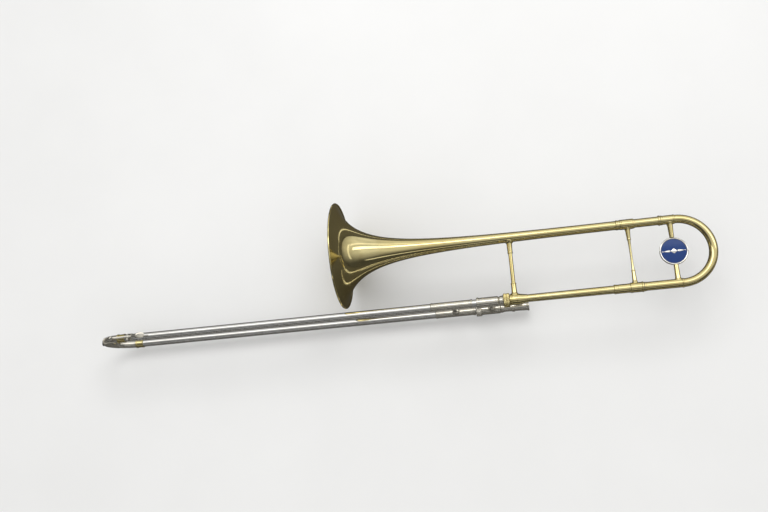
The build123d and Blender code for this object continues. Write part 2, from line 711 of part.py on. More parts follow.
# Side outlines of the lever: (x, z).
cup_height = nipple_height + cork_len
cup_x, _, cup_z = key_point(cup_height)
cup_bridge = [
    (key_pivot_x - 1.0, 11.4), (key_pivot_x - 1.0, 13.9), (-446, 14.4), (-457, 14.6),
    (cup_x + 2.5, cup_z + 1.6), (cup_x - 2.0, cup_z + 2.0), (cup_x - 2.0, cup_z + 0.5),
    (-457, 12.8), (-446, 12.2),
]
thumb_arm = [
    (key_pivot_x + 1.0, 11.8), (key_pivot_x + 1.0, 13.9), (-424, 14.4), (-414, 17.2),
    (-404, 19.0), (-396, 18.6), (-396, 17.2), (-404, 17.5), (-413, 15.6), (-423, 12.6),
]
thumb_plate = [
    (-412, 15.9), (-412, 17.56), (-404, 19.0), (-396, 18.6), (-393.4, 17.6),
    (-393.4, 16.2), (-396, 17.2), (-404, 17.5),
]

# Lever: hinge barrel, a bridge to the cork cup and a bent thumb plate.
with BuildPart() as key_lever:
    with BuildSketch(pivot_plane.offset(-4.1)):
        Circle(hinge_r)
    extrude(amount=8.2)
    for side_outline, half_width in ((cup_bridge, 2.6), (thumb_arm, 2.2), (thumb_plate, 5.6)):
        with BuildSketch(side_plane(0, goose_y)):
            outline(side_outline)
        extrude(amount=half_width, both=True)
    # cork cup: its top, then its wall
    with BuildSketch(key_plane(cup_height)):
        Circle(cup_r)
    extrude(amount=1.4)
    with BuildSketch(key_plane(cup_height)):
        Circle(cup_r)
        Circle(cork_r, mode=Mode.SUBTRACT)
    extrude(amount=-1.3)
    # hole for the pivot screw
    with BuildSketch(pivot_plane.offset(-6)):
        Circle(pivot_r + 0.05)
    extrude(amount=12, mode=Mode.SUBTRACT)
finish("water_key_lever", key_lever)

with BuildPart() as key_cork:
    with BuildSketch(key_plane(cup_height)):
        Circle(cork_r)
    extrude(amount=-cork_len)
finish("water_key_cork", key_cork)

# Coil spring round the hinge barrel, its turns merged side by side. One
# straight leg runs down to the saddle, the other alongside the thumb arm.
with BuildPart() as key_spring:
    with BuildSketch(across_x(key_pivot_x, goose_y, key_pivot_z)):
        with Locations(*[(turn_y, spring_r) for turn_y in spring_turns]):
            Circle(spring_wire_r)
    revolve(axis=Axis((key_pivot_x, goose_y, key_pivot_z), (0, 1, 0)))
    with BuildSketch(Plane(
            origin=(key_pivot_x - spring_r, goose_y + spring_turns[-1], key_pivot_z),
            x_dir=(1, 0, 0), z_dir=(0, 0, -1))):
        Circle(spring_wire_r)
    extrude(amount=4.25)
    with BuildSketch(across_x(key_pivot_x, goose_y + spring_turns[0], key_pivot_z + spring_r)):
        Circle(spring_wire_r)
    extrude(amount=15)
finish("water_key_spring", key_spring)

# --------------------------------------------------------------------- export
for part in pieces:
    export_step(part, "parts/" + part.label + ".step")
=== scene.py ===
"""A trombone, lying in its CAD frame.

Every tube runs along X. The bell opens towards -X and the tuning bow closes the bell section at
+X. The hand slide runs towards -X, with the water key near its end bow. The bell and gooseneck
axes lie apart in Y, with the bell on the +Y side. The gooseneck and mouthpiece axes lie apart
in Z, with the gooseneck above. Shapes are worked out in millimetres and stored in metres.
"""
import json
import math

import bmesh
import bpy
import numpy as np
from mathutils import Matrix, Vector


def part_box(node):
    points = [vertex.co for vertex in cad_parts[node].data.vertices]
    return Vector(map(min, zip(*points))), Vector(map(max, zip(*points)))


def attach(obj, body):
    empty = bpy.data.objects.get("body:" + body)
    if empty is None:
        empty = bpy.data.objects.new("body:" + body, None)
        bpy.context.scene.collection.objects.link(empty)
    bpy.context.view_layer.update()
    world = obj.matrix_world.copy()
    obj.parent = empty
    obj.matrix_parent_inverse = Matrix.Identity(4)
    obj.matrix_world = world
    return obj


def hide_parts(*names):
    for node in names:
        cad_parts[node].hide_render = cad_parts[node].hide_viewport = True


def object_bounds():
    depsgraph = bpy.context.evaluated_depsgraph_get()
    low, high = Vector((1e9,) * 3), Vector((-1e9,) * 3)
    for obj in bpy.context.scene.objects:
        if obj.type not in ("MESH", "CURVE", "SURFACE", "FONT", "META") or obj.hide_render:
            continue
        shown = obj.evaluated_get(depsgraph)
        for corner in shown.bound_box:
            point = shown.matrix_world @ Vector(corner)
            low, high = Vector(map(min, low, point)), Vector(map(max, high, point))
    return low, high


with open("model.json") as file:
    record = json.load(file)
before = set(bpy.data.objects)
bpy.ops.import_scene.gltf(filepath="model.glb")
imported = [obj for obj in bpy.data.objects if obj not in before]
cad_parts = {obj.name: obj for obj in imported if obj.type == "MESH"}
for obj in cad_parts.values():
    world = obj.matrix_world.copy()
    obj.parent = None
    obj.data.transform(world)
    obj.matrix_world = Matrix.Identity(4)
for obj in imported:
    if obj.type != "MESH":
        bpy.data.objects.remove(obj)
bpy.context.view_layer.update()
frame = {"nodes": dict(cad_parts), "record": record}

NODES = frame["nodes"]
SLOT = {row["node"]: row["material_slot"] for row in frame["record"]["subparts"]}
MM = 0.001  # metres in a millimetre


def span(node):
    """Lowest and highest corner of a CAD node, in millimetres."""
    low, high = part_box(node)
    return [c / MM for c in low], [c / MM for c in high]


def centre(node):
    return [(a + b) / 2 for a, b in zip(*span(node))]


def x_span(node):
    low, high = span(node)
    return low[0], high[0]


# The three axes that everything is turned about, read from the frame.
BELL_Y, BELL_Z = centre("bell_rim_bead")[1:]
GOOSE_Y, GOOSE_Z = centre("gooseneck")[1:]
MOUTH_Y, MOUTH_Z = centre("mouthpiece_receiver")[1:]
BELL_AXIS = (0.0, BELL_Y, BELL_Z)
GOOSE_AXIS = (0.0, GOOSE_Y, GOOSE_Z)
MOUTH_AXIS = (0.0, MOUTH_Y, MOUTH_Z)
BELL_GAP = BELL_Y - GOOSE_Y     # between the two tubes of the bell section
SLIDE_GAP = GOOSE_Z - MOUTH_Z   # between the two tubes of the slide

# Outer radii of tubes and fittings, mm.
STEM_R = 8.22
LEG_R = 7.8
STEM_FERRULE_R = 9.3
LEG_BAND_R = 8.9
RECEIVER_R = 9.8
UPPER_BAND_R = 8.2
LOWER_SLEEVE_R = 7.9
BARREL_R = 9.4
SLEEVE_R = 7.9
SLIDE_BORE_R = 6.525
NUT_R = 12.8
LOCK_RING_R = 11.6

CENTRE_R = 0.0001  # radius of a profile point that lies on its axis

PIECES = []  # (object, material slot)


# ------------------------------------------------------------------ profiles

def soften(points, radius, steps=3, closed=True):
    """Rounds the corners of a profile. A point may carry its own radius as a third number."""
    rounded = []
    count = len(points)
    for i, point in enumerate(points):
        own = point[2] if len(point) > 2 else radius
        corner = np.array(point[:2], float)
        if not closed and i in (0, count - 1):
            rounded.append(tuple(corner))
            continue
        before = np.array(points[i - 1][:2], float) - corner
        after = np.array(points[(i + 1) % count][:2], float) - corner
        before_len, after_len = np.linalg.norm(before), np.linalg.norm(after)
        if before_len < 1e-7 or after_len < 1e-7:
            continue
        before, after = before / before_len, after / after_len
        angle = math.acos(max(-1.0, min(1.0, float(before @ after))))
        if math.pi - angle < math.radians(10) or own <= 0:
            rounded.append(tuple(corner))
            continue
        trim = min(own / math.tan(angle / 2), 0.42 * before_len, 0.42 * after_len)
        a, b = corner + before * trim, corner + after * trim
        for k in range(steps + 1):
            s = k / steps
            rounded.append(tuple((1 - s) ** 2 * a + 2 * s * (1 - s) * corner + s * s * b))
    return rounded


def spline(points, start, end, per):
    """Clamped cubic through points by chord length, with per samples to a piece."""
    p = np.array(points, float)
    h = np.linalg.norm(np.diff(p, axis=0), axis=1)
    n = len(p)
    matrix = np.zeros((n, n))
    rhs = np.zeros((n, 2))
    matrix[0, 0] = matrix[-1, -1] = 1
    rhs[0] = np.array(start, float) / np.linalg.norm(start)
    rhs[-1] = np.array(end, float) / np.linalg.norm(end)
    for i in range(1, n - 1):
        matrix[i, i - 1], matrix[i, i], matrix[i, i + 1] = h[i], 2 * (h[i - 1] + h[i]), h[i - 1]
        rhs[i] = 3 * (h[i] * (p[i] - p[i - 1]) / h[i - 1] + h[i - 1] * (p[i + 1] - p[i]) / h[i])
    slope = np.linalg.solve(matrix, rhs)
    out = []
    for i in range(n - 1):
        for k in range(per):
            s = k / per
            out.append((2 * s**3 - 3 * s**2 + 1) * p[i] + (s**3 - 2 * s**2 + s) * h[i] * slope[i]
                       + (-2 * s**3 + 3 * s**2) * p[i + 1] + (s**3 - s**2) * h[i] * slope[i + 1])
    out.append(p[-1])
    return [tuple(q) for q in out]


def fitted(node, profile):
    """The profile stretched along X so that it fills the node's own span."""
    low, high = x_span(node)
    stations = [p[0] for p in profile]
    first = min(stations)
    stretch = (high - low) / (max(stations) - first)
    return [((p[0] - first) * stretch + low,) + tuple(p[1:]) for p in profile]


# ------------------------------------------------------------------ shells
# Each function returns (vertices in mm, faces).

def ring_faces(a, b, segments):
    """Quads between two rings of vertices that start at a and at b."""
    faces = []
    for k in range(segments):
        n = (k + 1) % segments
        faces.append((a + k, a + n, b + n, b + k))
    return faces


def stacked_faces(rings, segments):
    """Quads that join a run of rings, each to the next."""
    faces = []
    for i in range(rings - 1):
        faces += ring_faces(i * segments, (i + 1) * segments, segments)
    return faces


def tangent(points, i):
    along = np.array(points[min(i + 1, len(points) - 1)]) - np.array(points[max(i - 1, 0)])
    return along / np.linalg.norm(along)


def lathe(profile, axis, segments=128, shape=None, along="X"):
    """Turns a closed profile of (along, radius) about an axis.
    shape(along, radius, angle) may change a point."""
    verts, rows = [], []
    angles = np.linspace(0, 2 * math.pi, segments, endpoint=False)
    for station, radius in profile:
        tip = radius < 0.001
        rows.append((len(verts), tip))
        for t in angles[:1] if tip else angles:
            s, r = (station, radius) if shape is None else shape(station, radius, t)
            if tip:
                r = 0.0
            u, v = r * math.cos(t), r * math.sin(t)
            if along == "X":
                verts.append((axis[0] + s, axis[1] + u, axis[2] + v))
            else:
                verts.append((axis[0] + u, axis[1] + v, axis[2] + s))
    faces = []
    for i in range(len(rows)):
        (a, a_tip), (b, b_tip) = rows[i], rows[(i + 1) % len(rows)]
        if a_tip and b_tip:
            continue
        if a_tip or b_tip:
            for k in range(segments):
                n = (k + 1) % segments
                faces.append((a, b + n, b + k) if a_tip else (a + k, a + n, b))
        else:
            faces += ring_faces(a, b, segments)
    return verts, faces


def turned_about(profile, origin, axis, side, segments):
    """Closed profile of (along the axis, radius) turned about any line through origin."""
    axis, side, origin = (np.array(v, float) for v in (axis, side, origin))
    other = np.cross(axis, side)
    verts, faces = [], []
    count = len(profile)
    for s, r in profile:
        for k in range(segments):
            t = 2 * math.pi * k / segments
            point = origin + axis * s + side * (r * math.cos(t)) + other * (r * math.sin(t))
            verts.append(tuple(point))
    for i in range(count):
        j = (i + 1) % count
        if profile[i][1] < 1e-3 and profile[j][1] < 1e-3:
            continue
        faces += ring_faces(i * segments, j * segments, segments)
    return verts, faces


def brace(start, end, start_tube, end_tube, profile, segments=96):
    """A turned rod between two tubes that run along X, with feet that sit on them like saddles.
    start_tube and end_tube are tube radii. profile is (distance from the first axis, radius)."""
    reach = 7.0  # how far the saddle shape is felt along the rod
    start, end = np.array(start, float), np.array(end, float)
    length = float(np.linalg.norm(end - start))
    axis = (end - start) / length
    x_axis = np.array((1.0, 0, 0))
    side = np.cross(axis, x_axis)
    body = soften(profile, 0.25, closed=False)
    first, last = body[0], body[-1]
    rings = [(first[0], first[1] * k) for k in (0.0, 0.3, 0.6, 0.85)] + body
    rings += [(last[0], last[1] * k) for k in (0.85, 0.6, 0.3, 0.0)]

    def sag(tube, offset):
        return math.sqrt(max(tube * tube - offset * offset, 0.0)) - tube

    verts = []
    for s, radius in rings:
        start_pull = max(0.0, 1 - max(0.0, s - start_tube) / reach) ** 1.5
        end_pull = max(0.0, 1 - max(0.0, (length - end_tube) - s) / reach) ** 1.5
        for k in range(segments):
            t = 2 * math.pi * k / segments
            offset = radius * math.sin(t)
            moved = s + start_pull * sag(start_tube, offset) - end_pull * sag(end_tube, offset)
            point = start + axis * moved + x_axis * (radius * math.cos(t)) + side * offset
            verts.append(tuple(point))
    return verts, stacked_faces(len(rings), segments)


def pipe(path, normal, outer, inner, segments):
    """A tube of two radii along a flat path. normal is the path plane's unit normal."""
    normal = np.array(normal, float)
    verts, faces = [], []
    count = len(path)
    for i, point in enumerate(path):
        middle = np.array(point, float)
        side = np.cross(normal, tangent(path, i))
        for r in (outer, inner):
            for k in range(segments):
                t = 2 * math.pi * k / segments
                verts.append(tuple(middle + side * (r * math.cos(t)) + normal * (r * math.sin(t))))
    for i in range(count - 1):
        for shell in (0, 1):
            a = (2 * i + shell) * segments
            faces += ring_faces(a, a + 2 * segments, segments)
    for i in (0, count - 1):
        a = i * 2 * segments
        faces += ring_faces(a, a + segments, segments)
    return verts, faces


def wire(path, radius, segments):
    """A round wire along any path, with domed ends."""
    dome = [(0.6, 0.0), (0.5, 0.45), (0.25, 0.82)]  # (beyond the end, radius) in wire radii
    verts = []
    side = None
    for i, point in enumerate(path):
        middle = np.array(point, float)
        along = tangent(path, i)
        if side is None:
            side = np.cross(along, (0.31, 0.87, 0.4))
        side = side - along * float(side @ along)
        side = side / np.linalg.norm(side)
        up = np.cross(along, side)
        rings = [(0.0, radius)]
        if i == 0:
            rings = [(-s * radius, r * radius) for s, r in dome] + rings
        if i == len(path) - 1:
            rings = rings + [(s * radius, r * radius) for s, r in reversed(dome)]
        for s, r in rings:
            for k in range(segments):
                t = 2 * math.pi * k / segments
                round_part = side * (r * math.cos(t)) + up * (r * math.sin(t))
                verts.append(tuple(middle + along * s + round_part))
    return verts, stacked_faces(len(verts) // segments, segments)


# ------------------------------------------------------------------ objects

def even_normals(obj):
    modifier = obj.modifiers.new("even_normals", "WEIGHTED_NORMAL")
    modifier.weight = 60
    modifier.keep_sharp = True


def make(name, node, body, shells, weighted=True, replace=True):
    """One mesh object from shells, riding on a body. It takes the CAD node's material slot
    and, if replace is set, stands in for the node."""
    bm = bmesh.new()
    for verts, faces in shells:
        made = [bm.verts.new((x * MM, y * MM, z * MM)) for x, y, z in verts]
        for face in faces:
            # guards against a face that is there already
            try:
                bm.faces.new([made[i] for i in face])
            except ValueError:
                pass
    bmesh.ops.remove_doubles(bm, verts=bm.verts, dist=2e-7)
    bmesh.ops.dissolve_degenerate(bm, edges=bm.edges, dist=1e-7)
    bmesh.ops.recalc_face_normals(bm, faces=bm.faces)
    mesh = bpy.data.meshes.new(name)
    bm.to_mesh(mesh)
    bm.free()
    mesh.shade_smooth()
    obj = bpy.data.objects.new(name, mesh)
    bpy.context.scene.collection.objects.link(obj)
    if weighted:
        even_normals(obj)
    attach(obj, body)
    if replace:
        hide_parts(node)
    PIECES.append((obj, SLOT[node]))


def turned(name, node, body, axis, radius, profile, segments=128):
    """A turned piece whose profile is fitted to its CAD node. radius rounds its corners."""
    make(name, node, body, [lathe(soften(fitted(node, profile), radius), axis, segments)])


def knurl(start, end, rim, count, depth, ramp):
    """Grooves cut lengthwise round a rim, fading out at both ends."""
    def shape(s, r, t):
        if r < rim - 1.6:
            return s, r
        fade = max(0.0, min(1.0, (s - start) / ramp, (end - s) / ramp))
        wave = 0.5 - 0.5 * math.cos(count * t)
        return s, r - depth * (1 - wave ** 0.6) * fade
    return shape


# In the profiles below the columns are (X, radius, own corner radius if it has one), mm.

# ------------------------------------------------------------------ bell
# (X, outer radius) from the rim to the stem
BELL_CURVE = [
    (1.3, 100.83), (2.4, 96.81), (3.9, 91.98), (5.9, 86.49), (8.9, 79.70), (12.9, 72.51),
    (17.9, 65.44), (23.9, 58.73), (31.9, 51.68), (41.9, 44.84), (53.9, 38.51), (67.9, 32.87),
    (84.9, 27.73), (105.9, 23.10), (130.9, 19.21), (160.9, 16.00), (195.9, 13.48),
    (235.9, 11.58), (280.9, 10.21), (330.9, 9.25), (385.9, 8.63), (445.9, 8.30), (500.0, STEM_R),
]
BELL_WALL = 0.6
BEAD_R = 1.7
BEAD_X = 1.55
BEAD_STEPS = 28

bell_outer = spline(BELL_CURVE, start=(1, -3.75), end=(1, 0), per=9)
bell_outer.append((x_span("bell")[1], STEM_R))
bell_inner = []
for i, (x, r) in enumerate(bell_outer):
    along = tangent(bell_outer, i)
    bell_inner.append((x + BELL_WALL * along[1], r - BELL_WALL * along[0]))
make("bell_sheet", "bell", "bell_section",
     [lathe(bell_outer + bell_inner[::-1], BELL_AXIS, 288)], weighted=False)

# The rolled rim is a bead, cut flat at x = 0.
bead_middle = span("bell_rim_bead")[1][1] - BELL_Y - BEAD_R
bead = []
for k in range(BEAD_STEPS):
    t = 2 * math.pi * k / BEAD_STEPS
    bead.append((max(0.0, BEAD_X + BEAD_R * math.cos(t)), bead_middle + BEAD_R * math.sin(t)))
make("bell_rolled_rim", "bell_rim_bead", "bell_section",
     [lathe(bead, BELL_AXIS, 288)], weighted=False)

# ------------------------------------------------- bell section: turned fittings
LEG_BORE_R = 7.35

turned("stem_ferrule", "bell_stem_ferrule", "bell_section", BELL_AXIS, 0.1, [
    (513.0, STEM_R), (531.0, STEM_R), (531.0, LEG_R), (545.5, LEG_R), (545.5, 8.7),
    (544.6, 8.9), (543.3, 8.9), (542.9, STEM_FERRULE_R, 0.3),
    (524.2, STEM_FERRULE_R), (524.0, 9.1), (523.6, 9.1), (523.4, STEM_FERRULE_R),
    (522.9, STEM_FERRULE_R), (522.7, 9.1), (522.3, 9.1), (522.1, STEM_FERRULE_R),
    (520.9, STEM_FERRULE_R, 0.5), (519.7, 8.72, 0.4), (516.4, 8.72, 0.3), (515.7, 9.12, 0.4),
    (513.7, 9.12, 0.5), (513.0, 8.55, 0.4)])
turned("upper_outer_leg", "upper_tuning_leg", "bell_section", BELL_AXIS, 0.08,
       [(531.0, LEG_BORE_R), (590.8, LEG_BORE_R), (590.8, LEG_R), (531.0, LEG_R)])
turned("lower_outer_leg", "lower_tuning_leg", "bell_section", GOOSE_AXIS, 0.08,
       [(501.0, LEG_BORE_R), (546.8, LEG_BORE_R), (546.8, LEG_R), (501.0, LEG_R)])


def leg_end_ring(leg, axis, radius):
    """A band round the end of a tuning leg."""
    end = x_span(leg)[1]
    start = end - 2.8
    profile = [(start, LEG_R), (end, LEG_R), (end, radius, 0.7), (start, radius, 0.7)]
    return lathe(soften(profile, 0.1, steps=5), axis)


make("tuning_leg_end_rings", "tuning_leg_rings", "bell_section",
     [leg_end_ring("upper_tuning_leg", BELL_AXIS, 9.3),
      leg_end_ring("lower_tuning_leg", GOOSE_AXIS, 9.4)])
turned("gooseneck_tube", "gooseneck", "bell_section", GOOSE_AXIS, 0.06, [
    (328, 6.5), (345, 6.5), (480, 6.8), (501, 6.8), (501, 7.3), (480, 7.3), (345, 7.0),
    (328, 7.0)])
turned("gooseneck_end_ferrule", "gooseneck_ferrule", "bell_section", GOOSE_AXIS, 0.1, [
    (495.5, 7.3), (501.0, 7.3), (501.0, LEG_R), (523.4, LEG_R), (523.4, 8.5, 0.25),
    (521.3, 8.5, 0.25), (520.7, 8.28), (502.6, 8.28), (502.4, 8.1), (502.0, 8.1),
    (501.8, 8.28), (499.2, 8.28), (498.6, 8.6, 0.3), (496.2, 8.6, 0.4), (495.5, 7.9, 0.3)])
turned("lower_leg_band", "lower_leg_collar", "bell_section", GOOSE_AXIS, 0.15, [
    (524.2, LEG_R), (543.6, LEG_R), (543.6, LEG_BAND_R, 0.4), (527.7, LEG_BAND_R),
    (527.2, 9.3, 0.3), (524.7, 9.3, 0.3), (524.2, LEG_BAND_R, 0.2)])
turned("slide_receiver", "bell_receiver", "bell_section", GOOSE_AXIS, 0.08, [
    (304.0, 7.45), (327.0, 7.45), (328.0, 6.5), (328.0, 7.0), (342.0, 7.0), (342.0, 7.5, 0.2),
    (340.4, 7.72, 0.2), (338.0, 7.9, 0.6), (333.0, 8.7, 1.0), (328.5, 9.6, 1.2),
    (327.0, RECEIVER_R, 0.5), (324.6, RECEIVER_R), (324.4, 9.6), (324.0, 9.6),
    (323.8, RECEIVER_R), (316.2, RECEIVER_R), (316.0, 9.6), (315.6, 9.6),
    (315.4, RECEIVER_R), (314.1, RECEIVER_R), (313.6, 10.5, 0.35), (311.6, 10.5, 0.35),
    (311.0, 9.9), (311.0, 9.0), (306.2, 9.0), (306.2, 10.2, 0.2), (304.0, 10.2, 0.2)],
    segments=144)

# ------------------------------------------------------------------ bell braces
# Brace profiles have columns (distance from the first axis, radius, own corner radius).
# A foot ends in mid-air, so its far tube radius is very large and keeps that end almost flat.
FRONT_FLAT_R = 400
FLAT_R = 900


def bell_ends(x):
    """Points on the bell and gooseneck axes, at z = 0."""
    return (x, BELL_Y, 0), (x, GOOSE_Y, 0)


bell_side, goose_side = bell_ends(centre("front_brace")[0])
stem_r = float(np.interp(bell_side[0], [p[0] for p in bell_outer], [p[1] for p in bell_outer]))
make("front_bell_brace", "front_brace", "bell_section", [
    brace(bell_side, goose_side, stem_r, RECEIVER_R, [
        (stem_r - 0.3, 3.9), (stem_r + 3, 3.86), (40, 3.62), (BELL_GAP - 40, 3.62),
        (BELL_GAP - RECEIVER_R - 3, 3.86), (BELL_GAP - RECEIVER_R + 0.3, 3.9)])])

# the socket's outer part, alike in both feet
front_socket = [(22, 4.7), (28.1, 4.56), (28.6, 4.98, 0.3), (30.2, 4.98, 0.3), (30.7, 4.3, 0.2),
                (30.6, 3.5)]
make("front_brace_feet", "front_brace_sockets", "bell_section", [
    brace(bell_side, goose_side, stem_r, FRONT_FLAT_R, [
        (stem_r - 0.3, 7.75), (stem_r + 0.05, 7.6, 0.2), (stem_r + 0.75, 7.3, 0.5),
        (stem_r + 1.3, 6.3, 0.9), (stem_r + 2.9, 5.1, 1.2), (16, 4.86)] + front_socket),
    brace(goose_side, bell_side, RECEIVER_R, FRONT_FLAT_R, [
        (9.5, 7.3), (9.85, 7.2, 0.2), (10.6, 6.9, 0.5), (11.2, 6.1, 0.9),
        (12.9, 5.05, 1.2), (17, 4.86)] + front_socket)])

make("rear_bell_brace", "rear_brace", "bell_section", [
    brace(*bell_ends(centre("rear_brace")[0]), STEM_FERRULE_R, LEG_BAND_R, [
        (9.0, 5.75), (9.5, 5.5, 0.4), (10.3, 4.95, 0.8), (11.8, 4.4, 1.0), (14.5, 4.1),
        (18, 3.9), (22.5, 3.6), (26.9, 3.36), (27.3, 3.78, 0.3), (28.9, 3.78, 0.3),
        (29.5, 3.0, 0.3), (33, 2.6), (38, 2.35), (47, 2.16), (58, 2.1), (67, 2.15),
        (76, 2.28), (85.2, 2.7), (85.5, 3.62, 0.3), (87.1, 3.62, 0.3), (87.7, 3.2, 0.2),
        (96, 3.6), (104.0, 4.05, 0.6), (106.2, 4.6, 0.8), (107.6, 5.15, 0.4), (108.3, 5.4)])])

# ------------------------------------------------------------------ lock nut
# Two knurled bands with a plain groove between them. The plain stations along each band
# carry the knurl's fade.
nut_start, nut_end = x_span("bell_lock_nut")
nut_profile = [
    (nut_start, 9.9), (303.8, 9.9), (303.8, 10.35), (306.4, 10.35), (306.4, 9.05),
    (nut_end, 9.05), (nut_end, 11.6, 0.3), (nut_end - 0.9, 12.7, 0.4)]
nut_profile += [(nut_end - d, NUT_R) for d in (1.3, 1.8, 2.4, 3.0, 3.6, 4.2, 4.7)]
nut_profile += [(nut_end - 5.0, NUT_R, 0.15), (nut_end - 5.25, 12.15, 0.2),
                (nut_end - 6.25, 12.15, 0.2), (nut_end - 6.5, NUT_R, 0.15)]
nut_profile += [(nut_end - d, NUT_R) for d in (6.8, 7.4, 8.0, 8.6, 9.2, 9.8, 10.2)]
nut_profile += [(nut_start + 0.9, 12.7, 0.4), (nut_start, 11.7, 0.3)]
nut_knurl = knurl(nut_start + 0.5, nut_end - 0.5, NUT_R, count=44, depth=0.42, ramp=0.7)
make("knurled_lock_nut", "bell_lock_nut", "lock_nut",
     [lathe(soften(nut_profile, 0.08), GOOSE_AXIS, 528, nut_knurl)], weighted=False)

# ------------------------------------------------------------------ tuning slide
BOW_R = 7.70          # outer radius of the bow's tube
BOW_BORE_R = 6.9
BOW_STRAIGHT = 1.8    # straight end at either side of the bend
BOW_STEPS = 96

bow_low, bow_high = x_span("tuning_bow")
bend_r = BELL_GAP / 2
bend_x = bow_high - BOW_R - bend_r
bow_path = [(bow_low, BELL_Y, 0), (bow_low + BOW_STRAIGHT, BELL_Y, 0)]
for k in range(BOW_STEPS + 1):
    t = math.pi * k / BOW_STEPS
    bow_path.append((bend_x + bend_r * math.sin(t), BELL_Y - bend_r + bend_r * math.cos(t), 0))
bow_path += [(bow_low + BOW_STRAIGHT, GOOSE_Y, 0), (bow_low, GOOSE_Y, 0)]
make("tuning_bow_tube", "tuning_bow", "tuning_slide",
     [pipe(bow_path, (0, 0, 1), BOW_R, BOW_BORE_R, 112)], weighted=False)
turned("upper_bow_band", "upper_bow_ferrule", "tuning_slide", BELL_AXIS, 0.12, [
    (591.4, 7.28), (612.0, 7.28), (612.0, BOW_R), (615.6, BOW_R), (615.6, 8.2, 0.2),
    (615.0, 8.6, 0.3), (613.3, 8.6, 0.3), (612.7, UPPER_BAND_R), (595.1, UPPER_BAND_R),
    (594.6, 8.7, 0.35), (592.0, 8.7, 0.35), (591.4, 8.1, 0.2)])
turned("lower_bow_tube_sleeve", "lower_bow_sleeve", "tuning_slide", GOOSE_AXIS, 0.12, [
    (547.6, 7.28), (612.0, 7.28), (612.0, BOW_R), (615.6, BOW_R), (615.6, 8.1, 0.2),
    (615.0, 8.5, 0.3), (613.3, 8.5, 0.3), (612.6, LOWER_SLEEVE_R), (550.7, LOWER_SLEEVE_R),
    (550.2, 8.4, 0.3), (548.1, 8.4, 0.3), (547.6, 7.9, 0.2)])

# ------------------------------------------------------------------ medallion
# A disc in the XY plane between the two tubes. Its profiles are (Z, radius, corner radius).
medal_x, medal_y, _ = centre("medallion_rim")
MEDAL = (medal_x, medal_y, 0.0)
medal_low, medal_high = x_span("medallion_rim")
MEDAL_R = (medal_high - medal_low) / 2
DISC_R = MEDAL_R - 1.8
DISC_UNDERSIDE = -0.5
DOME_TOP = 1.9
DOME_STEPS = 24

medal_bell_side, medal_goose_side = bell_ends(medal_x)
arm_end = BELL_GAP / 2 - MEDAL_R + 0.6
arm_tip = [(28, 4.1), (arm_end - 1, 3.95), (arm_end, 3.9)]
make("medallion_arms", "medallion_struts", "tuning_slide", [
    brace(medal_bell_side, medal_goose_side, UPPER_BAND_R, FLAT_R, [
        (7.9, 6.5), (8.3, 6.3, 0.3), (8.9, 6.0, 0.5), (9.5, 5.3, 0.8), (11.2, 4.85, 0.8),
        (16, 4.6), (22, 4.35)] + arm_tip, 88),
    brace(medal_goose_side, medal_bell_side, LOWER_SLEEVE_R, FLAT_R, [
        (7.6, 6.3), (8.0, 6.1, 0.3), (8.6, 5.7, 0.5), (9.3, 5.1, 0.8), (11.2, 4.75, 0.8),
        (16, 4.5), (22, 4.3)] + arm_tip, 88)])


def milled(s, r, t):
    """A fine milled edge on the outside of the medallion's rim."""
    if r > MEDAL_R - 0.35 and -1.2 < s < 1.2:
        return s, r - 0.16 * (0.5 - 0.5 * math.cos(120 * t))
    return s, r


medal_ring = [
    (-1.7, DISC_R), (-1.7, MEDAL_R - 0.05, 0.3), (-1.1, MEDAL_R), (-0.5, MEDAL_R),
    (0.2, MEDAL_R), (1.0, MEDAL_R), (1.45, MEDAL_R, 0.3), (1.95, MEDAL_R - 0.55, 0.3),
    (2.2, MEDAL_R - 1.5, 0.6), (2.0, MEDAL_R - 2.5, 0.4), (1.5, MEDAL_R - 3.1, 0.15),
    (1.12, MEDAL_R - 3.1), (1.12, DISC_R)]
make("medallion_ring", "medallion_rim", "tuning_slide",
     [lathe(soften(medal_ring, 0.1), MEDAL, 720, milled, "Z")], weighted=False)

medal_back = [
    (DISC_UNDERSIDE, CENTRE_R, 0), (-1.1, CENTRE_R, 0), (-1.1, 6.0, 0.3), (-1.35, 6.5, 0.2),
    (-1.35, 17.5, 0.2), (-1.1, 18.0, 0.2), (-1.1, 19.0, 0.2), (-1.35, 19.5, 0.2),
    (-1.5, DISC_R, 0.05), (DISC_UNDERSIDE, DISC_R, 0)]
make("medallion_back_plate", "medallion_back", "tuning_slide",
     [lathe(soften(medal_back, 0.1), MEDAL, 192, along="Z")])


def dome_z(r):
    return DOME_TOP - 0.7 * (r / DISC_R) ** 2


medal_disc = [(DISC_UNDERSIDE, DISC_R), (1.0, DISC_R)]
for k in range(DOME_STEPS + 1):
    r = DISC_R * (1 - k / DOME_STEPS)
    medal_disc.append((dome_z(r), max(r, CENTRE_R)))
medal_disc.append((DISC_UNDERSIDE, CENTRE_R))
make("medallion_enamel", "medallion_disc", "tuning_slide",
     [lathe(medal_disc, MEDAL, 192, along="Z")])


